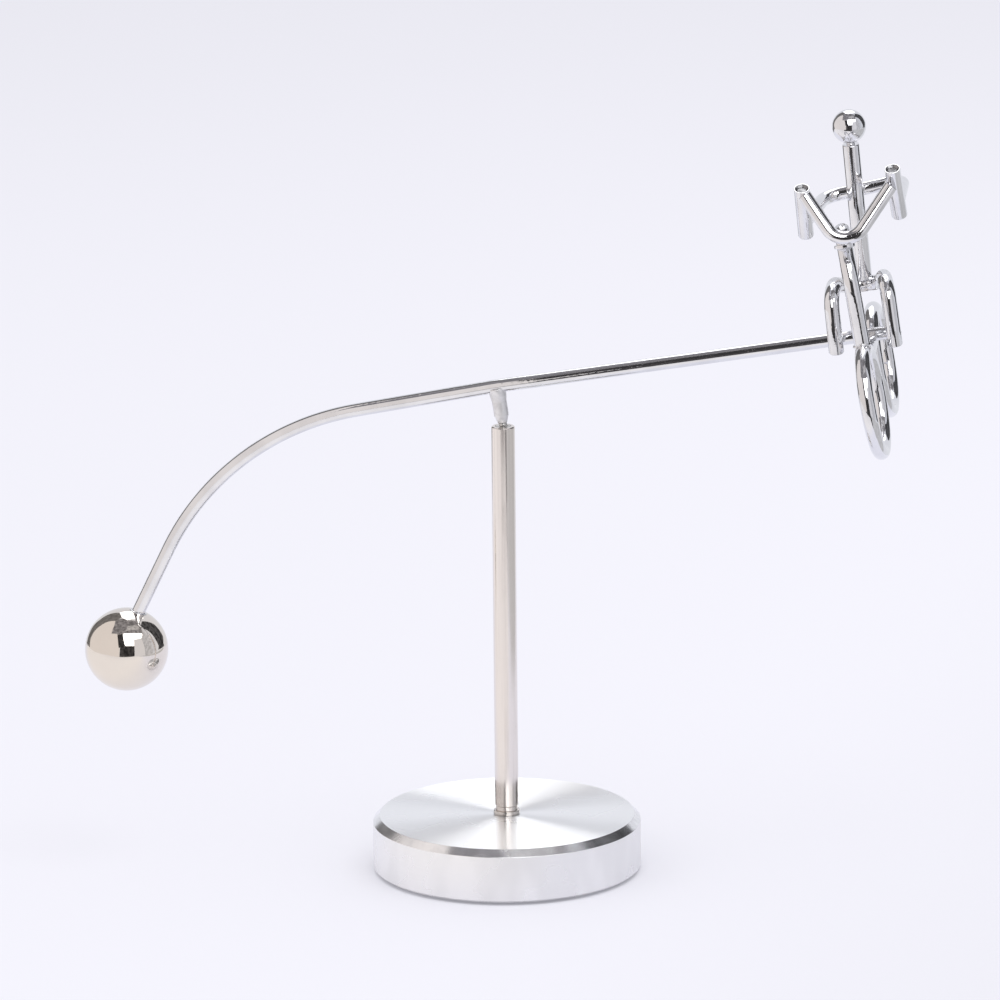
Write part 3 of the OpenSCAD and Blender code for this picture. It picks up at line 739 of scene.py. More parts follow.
dress(makeFootRing({"outer": 0.35, "inner": 0.1}), "stand", "post_metal", ringNickel, "foot_ring")
keptNodes = {"base_pad": padRubber, "base_screw": pivotSteel, "pivot_cup": pivotSteel, "pivot_ball": pivotSteel}
for node, mat in keptNodes.items():
    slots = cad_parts[node].data.materials
    slots.clear()
    slots.append(mat)
print("stage: stand made")

# Beam, ball and peg

setAngle, tailAngle = math.radians(beam["set"]), math.radians(beam["set"] + beam["bendAngle"])
bendReach = beam["bendRadius"] * tanDeg(beam["bendAngle"] / 2)
pegFoot = vec(0, 0, beam["rise"])
bendCorner = pegFoot + (beam["left"] + bendReach) * vec(-math.cos(setAngle), 0, -math.sin(setAngle))
tailDir = vec(-math.cos(tailAngle), 0, -math.sin(tailAngle))
tailSide = vec(math.sin(tailAngle), 0, -math.cos(tailAngle))
ballFace = bendCorner + (bendReach + beam["tail"]) * tailDir
ballRadius = ball["diameter"] / 2
ballMiddle = ballFace + math.sqrt(ballRadius ** 2 - ball["holeOff"] ** 2) * tailDir + ball["holeOff"] * tailSide
tailEnd = ballFace + ball["hole"] * tailDir
beamPath = [arm(vec(beam["right"], 0, beam["rise"])), arm(pegFoot), arm(bendCorner), arm(tailEnd)]


def beamSway(centres):
    return -np.interp(centres[:, 0], *beam["sway"])


beamBends = [beam["setRadius"], beam["bendRadius"]]
beamRod = wirePiece("beamRod", beamPath, beamBends, beam["diameter"], around=80, legStep=2.5, arcStep=1.0,
                    bow=((0, 0, 1), beamSway))
dress(beamRod, "arm", "wire_chrome", wireChrome, "beam_rod")
counterweight = spherePiece("counterweightBall", arm(ballMiddle), ballRadius, axesAlong(armDir(tailDir)),
                            around=192, steps=96)
dress(counterweight, "arm", "ball_chrome", ballNickel, "counterweight_ball")


def makeBallRim(rim, around=96, steps=9):
    # Lip round the beam where it enters the ball: for an angle t and a radius p from the beam's axis, the height is
    # that of the ball there, raised by a small arch across the lip.
    frameAxes = axesAlong(armDir(-tailDir))
    off = (armDir(ballMiddle - ballFace)) @ frameAxes
    t = np.arange(around) * 2 * np.pi / around
    f = np.linspace(0, 1, steps)
    p = rim["inner"] + (rim["outer"] - rim["inner"]) * f
    x, y = p[:, None] * np.cos(t), p[:, None] * np.sin(t)
    surface = off[2] + np.sqrt(ballRadius ** 2 - (x - off[0]) ** 2 - (y - off[1]) ** 2)
    arch = rim["height"] * np.sin(np.pi * f)[:, None] * (1 + rim["rough"] * lumps(0 * x, t, rim["seed"]))
    upper = np.stack([x, y, surface + arch], -1)
    lower = np.stack([x, y, surface - rim["sunk"]], -1)[::-1]
    rings = np.concatenate([upper, lower]) @ frameAxes.T + arm(ballFace)
    return gridPiece("ballRim", rings[::-1], loop=True)


ballRim = makeBallRim({"inner": 1.9, "outer": 2.65, "height": 0.16, "sunk": 0.25, "rough": 0.35, "seed": 5})
dress(ballRim, "arm", "ball_chrome", weldChrome, "counterweight_ball")


def makePeg(peg, around=96, steps=90):
    # Turned about the peg's axis: radius = profile(height) + lumps, more of them towards the weld under the beam
    tip, end = peg["tip"], beam["rise"]
    z = np.linspace(tip, end - peg["sunk"], steps)
    flareFoot = end - peg["flareHeight"]
    heights = [tip, tip + peg["taper"], flareFoot, end - peg["flareDrop"]]
    widths = [peg["tipDiameter"], peg["diameter"], peg["diameter"], peg["flareDiameter"]]
    base = np.interp(z, heights, [w / 2 for w in widths])
    t = np.arange(around) * 2 * np.pi / around
    spots = [tip, tip + peg["tipEdge"], flareFoot, end - peg["weldHeight"], end]
    share = np.interp(z, spots, peg["lumpShares"])[:, None]
    uneven = lumps(z[:, None] * peg["lumpPace"], t[None], peg["seed"], peg["waves"])
    r = base[:, None] + share * peg["lumps"] * uneven
    rings = np.stack([r * np.cos(t), r * np.sin(t), np.repeat(z[:, None], around, 1)], -1)
    poles = [arm(vec(0, 0, tip)), arm(vec(0, 0, z[-1]))]
    return gridPiece("pivotPeg", arm(rings), poles=poles)


pivotPeg = makePeg({
    "tip": 0.7, "taper": 2.3, "tipDiameter": 2.7, "diameter": 4.3,
    "flareHeight": 4.5, "flareDiameter": 5.3, "flareDrop": 1, "sunk": 0.6,  # drop and sunk: below the beam's axis
    "lumps": 0.135, "lumpShares": (0, 0.4, 0.5, 1, 1), "lumpPace": 0.35, "seed": 11, "waves": 5,
    "tipEdge": 1.5, "weldHeight": 3,  # the lumps grow over the first, and are full over the last
})
dress(pivotPeg, "arm", "wire_chrome", pegNickel, "pivot_peg")
print("stage: beam, ball and peg made")

# Bicycle

wheelRadius = (bike["wheel"] - bike["wire"]) / 2
frontHub, rearHub = vec(0, -bike["wheelbase"] / 2, -bike["drop"]), vec(0, bike["wheelbase"] / 2, -bike["drop"])


def wheelAxes():
    a = math.radians(-bike["turn"])
    turn = np.array([[math.cos(a), -math.sin(a), 0], [math.sin(a), math.cos(a), 0], [0, 0, 1]])
    return armAxes @ bikeAxes @ turn @ np.array([[0, 0, 1], [1, 0, 0], [0, 1, 0.0]])


for name, hub, node in (("frontWheel", frontHub, "front_wheel"), ("rearWheel", rearHub, "rear_wheel")):
    wheel = ringPiece(name, arm(bikePoint(hub)), wheelAxes(), wheelRadius, bike["wire"] / 2)
    dress(wheel, "arm", "wire_chrome", wireChrome, node)
barLevel = -(beam["diameter"] + bike["bar"]) / 2
barReach = math.sqrt(wheelRadius ** 2 - (barLevel + bike["drop"]) ** 2)
barEnds = [vec(0, frontHub[1] + barReach, barLevel), vec(0, rearHub[1] - barReach, barLevel)]
frameBar = wirePiece("frameBar", [arm(bikePoint(p)) for p in barEnds], [], bike["bar"])
dress(frameBar, "arm", "wire_chrome", wireChrome, "frame_bar")

rake = math.radians(bike["rake"])
steerDir, steerFront = vec(0, math.sin(rake), math.cos(rake)), vec(0, -math.cos(rake), math.sin(rake))
steerFoot = frontHub + vec(0, 0, wheelRadius + bike["wire"] / 2 - bike["seat"])
steerR, steerTop = bike["steer"] / 2, bike["steerLength"]
steerAxes = axesAlong(armDir(bikeDir(steerDir)))
steerLook = {
    "rings": (0.2, 0.4, 0.46, 0.5, 0.54, 0.58, 0.62, 0.66, 0.7, 0.74, 0.78, 0.82, 0.86),  # shares of the length
    # The normals tilt down by the second row's degrees at the first row's shares of the length
    "tilt": ((0, 0.38, 0.42, 0.54, 0.6, 0.67, 0.7, 0.93), (13, 14, 10, -6, -14, -25, -31, -35)),
    "footEdge": 0.2, "ringEdge": 0.01, "topFlat": 0.02,  # the top is a half ball but for this radius
}
steerSide = [(steerR, f * steerTop) for f in (0, *steerLook["rings"], 1)]
ringEdges = [steerLook["ringEdge"]] * len(steerLook["rings"])
steerRadii = [0, steerLook["footEdge"], *ringEdges, steerR - steerLook["topFlat"], 0]
steerTilt = ([f * steerTop for f in steerLook["tilt"][0]], steerLook["tilt"][1])
steeringTube = lathePiece("steeringTube", [(0, 0), *steerSide, (0, steerTop)], steerRadii, around=80,
                          axes=steerAxes, foot=arm(bikePoint(steerFoot)), steps=14, bow=steerTilt)
dress(steeringTube, "arm", "wire_chrome", wireChrome, "steering_tube")

handlebar = {
    "diameter": 4, "up": 27, "bendRadius": 6.2, "half": 12.7, "rise": 18.4, "shift": 4.1, "roll": 3.8,
    "tilt": ((4, 8), (0, -14)),  # the normals tilt up by these degrees at these heights over the bend
}
grip = {
    "diameter": 4.6, "length": 17.4, "over": (1.6, 5.1), "out": 0.8, "behind": 0.35, "lean": 25, "splay": 1.8,
    "dish": 0.6, "dishMiddle": 0.78, "lip": 0.3, "dishReach": 1.0, "dishEdge": 0.5,
    "footEdge": 0.7, "lipEdge": 0.12, "lipInner": 0.1,
    "cutHeight": 1, "cutInset": 0.2,  # faces this near the end and this far inside the side are bare cut steel
}
rider = {
    "lean": 3.7, "torsoLean": 6.5, "torso": 5, "torsoLength": 41.7,
    "head": 10, "stud": 2.4, "studDepth": 3, "studGap": 0.02, "neck": 0.4,
    "arm": 4, "shoulderUp": 25.8, "shoulderHalf": 11.9, "shoulderShift": 2.4, "shoulderRoll": 4.6,
    "shoulderBend": 5.5, "handUp": 4.8,
    "leg": 4.5, "footHalf": 8.7, "footShift": 0.8, "footBelow": 2.9, "kneeHalf": 8.3, "kneeUp": 19.3,
    "kneeRoll": 2, "kneeFront": 11, "kneeBend": 4.5, "hipHalf": 4.2, "hipBend": 4, "hipBack": 15.5, "hipUp": 12,
    "hipSeat": 0.85,  # how far up the hip wire the torso starts, as a share of its radius
    "legEdges": (0.35, 0.35), "torsoEdges": (0.15, 0.35),
    "shinTilt": ((-9, 2), (-22, 0)),  # the normals tilt up by these degrees at these y
    "torsoTilt": ((0.45, 0.58, 1), (0, -7, -7.5)),  # the same, at shares of the torso's length
}
barCorner = steerFoot + (bike["steer"] + handlebar["diameter"]) / 2 * steerFront + handlebar["up"] * steerDir
barMiddle = barCorner + vec(handlebar["shift"], 0, 0) + handlebar["rise"] * steerDir
rollAngle = math.radians(handlebar["roll"])
barSide = handlebar["half"] * vec(math.cos(rollAngle), 0, -math.sin(rollAngle))
barTips = [bikePoint(barMiddle - barSide), bikePoint(barMiddle + barSide)]
barPath = [barTips[0], bikePoint(barCorner), barTips[1]]
barTurn = math.acos(unit(barPath[1] - barPath[0]) @ unit(barPath[2] - barPath[1]))
barUnder = handlebar["bendRadius"] * (1 / math.cos(barTurn / 2) - 1) - handlebar["diameter"] / 2
ringUp = handlebar["up"] + barUnder - bike["stemRingHeight"]
ringR, ringHole, ringTop = bike["stemRing"] / 2, bike["steer"] / 2 + bike["ringGap"], bike["stemRingHeight"]
ringCorners = [(ringHole, ringTop), (ringHole, 0), (ringR, 0), (ringR, ringTop)]
ringRadii = [bike["ringHoleEdge"]] * 2 + [bike["ringEdge"]] * 2
stemRing = lathePiece("stemRing", ringCorners, ringRadii, loop=True, axes=steerAxes,
                      foot=arm(bikePoint(steerFoot + ringUp * steerDir)))
dress(stemRing, "arm", "wire_chrome", wireChrome, "stem_ring")


def barTilt(centres):
    return np.interp(centres[:, 2] - arm(barPath[1])[2], *handlebar["tilt"])


handlebarWire = wirePiece("handlebarWire", [arm(p) for p in barPath], [handlebar["bendRadius"]],
                          handlebar["diameter"], arcStep=2.0, bow=((1, 0, 0), barTilt))
dress(handlebarWire, "arm", "wire_chrome", wireChrome, "handlebar")

gripDirs = [unit(vec(tanDeg(rider["lean"] - side * grip["splay"]), -tanDeg(grip["lean"]), 1)) for side in (-1, 1)]
gripBehind = grip["behind"] * (handlebar["diameter"] + grip["diameter"])
gripOffs = [vec(side * grip["out"], gripBehind, 0) for side in (-1, 1)]
gripTops = [barTips[i] + gripOffs[i] + grip["over"][i] * gripDirs[i] for i in (0, 1)]
gripFeet = [gripTops[i] - grip["length"] * gripDirs[i] for i in (0, 1)]


def makeGrip(name, i):
    # A rod cut from thicker wire, turned about its own axis.
    # Its upper end is dished where the saw's burr was ground off.
    r, length = grip["diameter"] / 2, grip["length"]
    corners = [
        (0, 0), (r, 0), (r, length), (r - grip["lip"], length),
        (r - grip["dishReach"], length - grip["dish"]), (0, length - grip["dishMiddle"]),
    ]
    radii = [0, grip["footEdge"], grip["lipEdge"], grip["lipInner"], grip["dishEdge"], 0]
    axes = axesAlong(armDir(gripDirs[i]))
    made = lathePiece(name, corners, radii, around=80, axes=axes, foot=arm(gripFeet[i]))
    made.data.materials.append(wireChrome)
    offset = polygonValues(made, "center") / mm - arm(gripFeet[i])
    height = offset @ axes[:, 2]
    reach = np.linalg.norm(offset - height[:, None] * axes[:, 2], axis=1)
    inDish = (height > length - grip["cutHeight"]) & (reach < r - grip["cutInset"])
    made.data.polygons.foreach_set("material_index", inDish.astype(np.int32))
    return made


for i, (name, node) in enumerate((("gripLeft", "grip_left"), ("gripRight", "grip_right"))):
    dress(makeGrip(name, i), "arm", "wire_chrome", cutSteel, node)
print("stage: bicycle made")

# Rider

legFront = -(beam["diameter"] + rider["leg"]) / 2
footMiddle = bike["reach"] - rider["footShift"]


def riderX(up):  # the middle of the rider at a height over the beam
    return footMiddle + up * tanDeg(rider["lean"])


def kneePoint(side):
    over = rider["kneeUp"] + side * rider["kneeHalf"] * tanDeg(rider["kneeRoll"])
    return vec(riderX(rider["kneeUp"]) + side * rider["kneeHalf"], -rider["kneeFront"], beam["rise"] + over)


def shinTilt(centres):
    return np.interp(centres[:, 1], *rider["shinTilt"])


feet = [vec(footMiddle + side * rider["footHalf"], legFront, beam["rise"] - rider["footBelow"]) for side in (-1, 1)]
knees = [kneePoint(side) for side in (-1, 1)]
hipMiddle = vec(riderX(rider["hipUp"]), rider["hipBack"], beam["rise"] + rider["hipUp"])
hips = [hipMiddle + side * vec(rider["hipHalf"], 0, 0) for side in (-1, 1)]
legPath = [feet[0], knees[0], hips[0], hips[1], knees[1], feet[1]]
legBends = [rider["kneeBend"], rider["hipBend"], rider["hipBend"], rider["kneeBend"]]
legWire = wirePiece("legWire", [arm(p) for p in legPath], legBends, rider["leg"], edges=rider["legEdges"],
                    arcStep=3, bow=((1, 0, 0), shinTilt))
dress(legWire, "arm", "wire_chrome", wireChrome, "legs")

torsoDir = unit(vec(tanDeg(rider["lean"]), -tanDeg(rider["torsoLean"]), 1))
torsoFoot = hipMiddle + rider["leg"] / 2 * rider["hipSeat"] * torsoDir
torsoTop = torsoFoot + rider["torsoLength"] * torsoDir


def torsoTilt(centres):
    shares, degrees = rider["torsoTilt"]
    return np.interp(centres[:, 2], [arm(torsoFoot)[2] + f * rider["torsoLength"] for f in shares], degrees)


torsoRod = wirePiece("torsoRod", [arm(torsoFoot), arm(torsoTop)], [], rider["torso"], edges=rider["torsoEdges"],
                     around=80, legStep=1.5, bow=((1, 0, 0), torsoTilt))
dress(torsoRod, "arm", "wire_chrome", wireChrome, "torso")

shoulderRoll = math.radians(rider["shoulderRoll"])
shoulderDir = vec(math.cos(shoulderRoll), 0, math.sin(shoulderRoll))
shoulderBack = unit(np.cross(torsoDir, shoulderDir))
shoulderSeat = torsoFoot + rider["shoulderUp"] * torsoDir
shoulderOut = (rider["torso"] + rider["arm"]) / 2 * shoulderBack + rider["shoulderShift"] * shoulderDir
shoulderMiddle = shoulderSeat + shoulderOut
shoulders = [shoulderMiddle + side * rider["shoulderHalf"] * shoulderDir for side in (-1, 1)]
hands = [gripFeet[i] + rider["handUp"] * gripDirs[i] for i in (0, 1)]
armPath = [arm(p) for p in (hands[0], shoulders[0], shoulders[1], hands[1])]
armWire = wirePiece("armWire", armPath, [rider["shoulderBend"]] * 2, rider["arm"])
dress(armWire, "arm", "wire_chrome", wireChrome, "arms")


def makeHead(head, around=112, ballSteps=60, studSteps=6):
    # Ball on a stud: a profile from the stud's foot up its side and round the ball, turned about the torso's axis
    studR, ballR = head["stud"] / 2, head["head"] / 2
    middle = head["torsoLength"] + head["neck"] + ballR
    a = np.linspace(math.asin(studR / ballR), np.pi, ballSteps)[:-1]
    ballPart = np.stack([ballR * np.sin(a), middle - ballR * np.cos(a)], -1)
    foot = head["torsoLength"] - head["studDepth"]
    studHeights = np.linspace(foot, ballPart[0, 1] - head["studGap"], studSteps)
    studPart = np.stack([np.full(studSteps, studR), studHeights], -1)
    profile = np.concatenate([studPart, ballPart])
    slope = np.concatenate([np.tile([1.0, 0.0], (studSteps, 1)), np.stack([np.sin(a), -np.cos(a)], -1)])
    axes = axesAlong(armDir(torsoDir))
    t = np.arange(around) * 2 * np.pi / around

    def turned(rz):
        flat = [rz[:, :1] * np.cos(t), rz[:, :1] * np.sin(t), np.repeat(rz[:, 1:], around, 1)]
        return np.stack(flat, -1) @ axes.T
    origin = arm(torsoFoot)
    poles = [origin + foot * axes[:, 2], origin + (middle + ballR) * axes[:, 2]]
    return gridPiece("head", turned(profile) + origin, turned(slope), poles, [-axes[:, 2], axes[:, 2]])


dress(makeHead(rider), "arm", "wire_chrome", wireChrome, "head_ball")
print("stage: rider made")

# Weld beads where the wires meet

def makeWelds(beads, firstSeed=3):
    # A bead has a centre, a direction along the seam, one out of it, and three half sizes.
    # All are squashed balls in one mesh, and each one's point numbers start at its shift.
    verts, faces, shift = [], [], 0
    for seed, (centre, seam, out, sizes) in enumerate(beads, firstSeed):
        z = unit(armDir(seam))
        x = unit(armDir(out) - (armDir(out) @ z) * z)
        axes = np.stack([x, np.cross(z, x), z], axis=1)
        rings, poles = beadGrid(arm(centre), axes, sizes, seed)
        count, around = rings.shape[:2]
        ids = np.arange(count * around).reshape(count, around) + 1 + shift
        quads = np.stack([ids[:-1], np.roll(ids[:-1], -1, 1), np.roll(ids[1:], -1, 1), ids[1:]], -1).reshape(-1, 4)
        low = np.stack([np.full(around, shift), np.roll(ids[0], -1), ids[0]], -1)
        high = np.stack([ids[-1], np.roll(ids[-1], -1), np.full(around, shift + count * around + 1)], -1)
        verts.append(np.vstack([poles[0], rings.reshape(-1, 3), poles[1]]))
        faces += quads.tolist() + low.tolist() + high.tolist()
        shift += count * around + 2
    return smoothShaded(meshObject("weldBeads", np.vstack(verts) * mm, faces))


up, side, ahead = vec(0, 0, 1), vec(1, 0, 0), vec(0, -1, 0)
weld = {  # half sizes of each bead, then places
    "bar": (2.0, 0.8, 1.9), "tube": (2.6, 2.3, 1.3), "shoulder": (1.3, 0.9, 2.2), "hip": (0.8, 2.2, 2.5),
    "foot": (1.3, 0.8, 2.2), "barDrop": 2, "footOff": (0, 2.25, 2.9),
}
footWelds = [(foot + vec(*weld["footOff"]), side, up, weld["foot"]) for foot in feet]
weldSpots = [
    (bikePoint(vec(0, 0, -weld["barDrop"])), ahead, side, weld["bar"]),
    (bikePoint(steerFoot), steerDir, side, weld["tube"]),
    (shoulderSeat + rider["torso"] / 2 * shoulderBack, shoulderDir, torsoDir, weld["shoulder"]),
    (torsoFoot, shoulderDir, torsoDir, weld["hip"]),
    *footWelds,
]
weldBeads = makeWelds(weldSpots)
weldBeads.data.materials.append(weldChrome)
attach(weldBeads, "arm")
print("stage: welds made")

# Studio: floor, cards that the metal mirrors, lamps, world and camera

studio = {
    "paper": (0.905, 0.90, 0.975), "paperOwnLight": 0.46, "paperDiffuse": 0.5, "floorSize": 8.0,
    # The paper's painted shade, its brightness: over y (from, to, two levels), then over x + slope * y (the slope
    # comes first)
    "farFade": (0.55, 1.7, 1.0, 0.82),
    "rightFade": (-0.25, 0.0, 0.24, 1.0, 0.86), "leftFade": (0.3, -0.1, 0.35, 0.96, 1.0),
    "contactShadowWidth": 0.006, "contactShadowRange": (0.1, 0.7, 0.5, 1.0),  # the painted contact shadow, a thin dark line under the object
    # Inside this rectangle the metal mirrors the floor, with its own colours, and past it the cards
    "mirroredX": (-0.75, 0.22), "mirroredY": (-0.55, 0.36),
    "mirroredLeft": (0.49, 0.465, 0.43), "mirroredRight": (0.385, 0.39, 0.44),
    "mirroredTurn": (1.2, -0.2, 0.0), "mirroredFade": (-0.5, -0.1, 0.8, 1.0),
    "glossy": (0.82, 0.83, 0.88), "diffuse": 1.0,
    "lampAim": (0, 0, 0.08), "cardCentre": (-0.03, 0, 0.12), "mottleScale": 4.0, "mottleRange": (0.35, 0.65),
}
# Rows of two directions (azimuth from the camera's side to the right, elevation), then the card's colour, its
# distance, and how mottled it is
cards = {
    "leftWall": (
        [((-124, -45), (-124, 62)), ((-70, -45), (-70, 64)), ((-14, -45), (-14, 62))],
        (0.88, 0.825, 0.80), 2.6, 0.0,
    ),
    "leftGap": (
        [((-110, -20), (-148, -20)), ((-110, -10), (-148, -12)), ((-117, -3), (-138, -8)),
         ((-121, 3), (-141, -5)), ((-122, 14), (-148, 0)), ((-120, 28), (-146, 11)),
         ((-121, 41), (-152, 24)), ((-119, 58), (-158, 38)), ((-119, 62), (-150, 64))],
        (0.19, 0.183, 0.183), 2.2, 0.2,
    ),
    "backBox": (
        [((-160, 38), (-150, 64)), ((180, 34), (-175, 77)), ((170, 33), (162, 68)), ((153, 41), (146, 58))],
        (2.7, 2.7, 2.72), 2.3, 0.0,
    ),
    "ceiling": (
        [((-58, 46), (-88, 62)), ((-31, 52), (-124, 60)), ((-14, 56), (-150, 68)), ((5, 58), (-175, 77)),
         ((40, 55), (129, 60)), ((74, 44), (91, 55))],
        (0.265, 0.255, 0.27), 2.3, 0.35,
    ),
    "ceilingPatch": (
        [((2, 66), (20, 82)), ((40, 66), (75, 78)), ((82, 57), (98, 64))],
        (0.50, 0.49, 0.50), 2.2, 0.25,
    ),
    "frontBox": (
        [((-6, 38), (-12, 56)), ((12, 38), (5, 58)), ((31, 38), (40, 55)), ((61, 37), (74, 46))],
        (3.5, 3.5, 3.5), 2.2, 0.0,
    ),
    "frontBoxLow": (
        [((2, 21), (-6, 38)), ((28, 21), (31, 38))],
        (3.5, 3.5, 3.5), 2.2, 0.0,
    ),
    "neck": (
        [((-34, 50), (-12, 56)), ((-24, 36), (-4, 38)), ((-17, 16), (2, 21))],
        (0.05, 0.048, 0.05), 2.1, 0.3,
    ),
    "cameraSide": (
        [((-13, 21), (29, 21)), ((-14, -9), (27, -9)), ((-28, -12), (36, -12)), ((-28, -42), (36, -42))],
        (0.05, 0.047, 0.048), 2.1, 0.5,
    ),
    "frontRight": (
        [((26, -8), (26, 38)), ((44, -8), (44, 38)), ((61, -8), (61, 38))],
        (0.80, 0.79, 0.82), 2.6, 0.0,
    ),
    "rightWall": (
        [((59, -8), (59, 50)), ((72, -8), (74, 52)), ((84, -8), (88, 54))],
        (0.58, 0.58, 0.61), 2.5, 0.15,
    ),
    "rightStripe": (
        [((84, -8), (88, 54)), ((99, -8), (101, 50))],
        (0.68, 0.69, 0.74), 2.5, 0.1,
    ),
    "rightLow": (
        [((22, -45), (22, -8)), ((70, -45), (70, -8)), ((130, -45), (130, -8))],
        (0.60, 0.60, 0.615), 2.5, 0.1,
    ),
    "rightGap": (
        [((106, -6), (138, -8)), ((110, 0), (136, -4)), ((106, 13), (146, 1)), ((105, 31), (146, 12)),
         ((103, 42), (147, 21)), ((97, 52), (143, 35)), ((92, 59), (136, 53))],
        (0.07, 0.07, 0.075), 2.2, 0.5,
    ),
}


def rayMask(tree, kinds):
    path = tree.nodes.new("ShaderNodeLightPath")
    total = path.outputs[kinds[0]]
    for kind in kinds[1:]:
        total = mathNode(tree, "MAXIMUM", total, path.outputs[kind])
    return total


def glowTree(name):  # a material with nothing but its output, and a glow
    mat = bpy.data.materials.new(name)
    mat.use_nodes = True
    tree = mat.node_tree
    tree.nodes.clear()
    return mat, tree, tree.nodes.new("ShaderNodeOutputMaterial"), tree.nodes.new("ShaderNodeEmission")


def makeFloor(n=9):
    # A flat square grid of n by n points at height 0
    size = studio["floorSize"]
    x, y = np.meshgrid(np.linspace(-size, size, n), np.linspace(-size, size, n), indexing="ij")
    ids = np.arange(n * n).reshape(n, n)
    faces = np.stack([ids[:-1, :-1], ids[1:, :-1], ids[1:, 1:], ids[:-1, 1:]], -1).reshape(-1, 4)
    floor = meshObject("floor", np.stack([x, y, 0 * x], -1).reshape(-1, 3), faces.tolist())
    mat, tree, out, glow = glowTree("paper")
    diffuse = tree.nodes.new("ShaderNodeBsdfDiffuse")
    both, ends = tree.nodes.new("ShaderNodeAddShader"), tree.nodes.new("ShaderNodeMixShader")
    clear = tree.nodes.new("ShaderNodeBsdfTransparent")
    split = tree.nodes.new("ShaderNodeSeparateXYZ")
    tree.links.new(tree.nodes.new("ShaderNodeTexCoord").outputs["Object"], split.inputs[0])
    x, y = split.outputs[0], split.outputs[1]
    paper = studio["paper"]
    diffuse.inputs["Color"].default_value = (*[c * studio["paperDiffuse"] for c in paper], 1)

    def across(slope):  # x + slope * y
        return mathNode(tree, "ADD", x, times(tree, y, slope))

    # Painted shade: the far side, the near right corner and the left of the paper are a little darker
    fade = rangeNode(tree, y, *studio["farFade"])
    for slope, *span in (studio["rightFade"], studio["leftFade"]):
        fade = times(tree, fade, rangeNode(tree, across(slope), *span))
    slope, *span = studio["mirroredTurn"]
    turn = rangeNode(tree, across(slope), *span)
    mirrored = mixColours(tree, turn, studio["mirroredLeft"], studio["mirroredRight"])
    seen = addNode(tree, "ShaderNodeMix", data_type="RGBA")
    seen.inputs[6].default_value = (*[c * studio["paperOwnLight"] for c in paper], 1)
    tree.links.new(mirrored, seen.inputs[7])
    glossy = rayMask(tree, ["Is Glossy Ray", "Is Transmission Ray"])
    tree.links.new(glossy, seen.inputs[0])
    tree.links.new(seen.outputs[2], glow.inputs["Color"])
    level = addNode(tree, "ShaderNodeMix", data_type="FLOAT")
    tree.links.new(glossy, level.inputs[0])
    tree.links.new(fade, level.inputs[2])
    tree.links.new(rangeNode(tree, y, *studio["mirroredFade"]), level.inputs[3])
    # Painted contact shadow: ambient occlusion dims the paper's own light near the object, for camera and mirror
    # rays
    nearby = addNode(tree, "ShaderNodeAmbientOcclusion", Distance=studio["contactShadowWidth"], samples=8)
    contactShadow = rangeNode(tree, nearby.outputs["AO"], *studio["contactShadowRange"])
    watched = rayMask(tree, ["Is Camera Ray", "Is Glossy Ray", "Is Transmission Ray"])
    tree.links.new(times(tree, watched, times(tree, contactShadow, level.outputs[0])), glow.inputs["Strength"])

    def outside(value, low, high):
        off = mathNode(tree, "ABSOLUTE", mathNode(tree, "SUBTRACT", value, (low + high) / 2))
        return mathNode(tree, "GREATER_THAN", off, (high - low) / 2)

    beyond = mathNode(tree, "MAXIMUM", outside(x, *studio["mirroredX"]), outside(y, *studio["mirroredY"]))
    tree.links.new(times(tree, beyond, rayMask(tree, ["Is Glossy Ray"])), ends.inputs[0])
    tree.links.new(diffuse.outputs[0], both.inputs[0])
    tree.links.new(glow.outputs[0], both.inputs[1])
    tree.links.new(both.outputs[0], ends.inputs[1])
    tree.links.new(clear.outputs[0], ends.inputs[2])
    tree.links.new(ends.outputs[0], out.inputs["Surface"])
    floor.data.materials.append(mat)


def makeCard(name, rows, colour, distance, mottle, steps=12, across=16):
    # A strip of a sphere: a row is an even mix of its two directions (sin az cos el, -cos az cos el, sin el), the
    # next rows are mixed evenly too, and every mix is brought back to the card's distance.
    az, el = np.moveaxis(np.radians(np.asarray(rows, float)), -1, 0)
    ends = np.stack([np.sin(az) * np.cos(el), -np.cos(az) * np.cos(el), np.sin(el)], -1)
    t = np.linspace(0, len(rows) - 1, steps * (len(rows) - 1) + 1)
    low = np.minimum(t.astype(int), len(rows) - 2)
    f = (t - low)[:, None, None]
    edges = (1 - f) * ends[low] + f * ends[low + 1]
    g = np.linspace(0, 1, across + 1)[None, :, None]
    out = (1 - g) * edges[:, :1] + g * edges[:, 1:]
    out = out / np.linalg.norm(out, axis=-1, keepdims=True)
    ids = np.arange(out.shape[0] * out.shape[1]).reshape(out.shape[:2])
    faces = np.stack([ids[:-1, :-1], ids[:-1, 1:], ids[1:, 1:], ids[1:, :-1]], -1).reshape(-1, 4)
    verts = np.asarray(studio["cardCentre"]) + distance * out.reshape(-1, 3)
    card = meshObject(name, verts, faces.tolist())
    mat, tree, output, glow = glowTree(name)
    glow.inputs["Color"].default_value = (*colour, 1)
    if mottle:
        grain = addNode(tree, "ShaderNodeTexNoise", Scale=studio["mottleScale"], Detail=2.0)
        tree.links.new(tree.nodes.new("ShaderNodeTexCoord").outputs["Object"], grain.inputs["Vector"])
        uneven = rangeNode(tree, grain.outputs[0], *studio["mottleRange"], 1 - mottle, 1 + mottle)
        tree.links.new(uneven, glow.inputs["Strength"])
    tree.links.new(glow.outputs[0], output.inputs["Surface"])
    card.data.materials.append(mat)
    card.visible_camera = card.visible_diffuse = card.visible_shadow = card.visible_transmission = False


makeFloor()
for name, (rows, colour, distance, mottle) in cards.items():
    makeCard("card" + name[0].upper() + name[1:], rows, colour, distance, mottle)


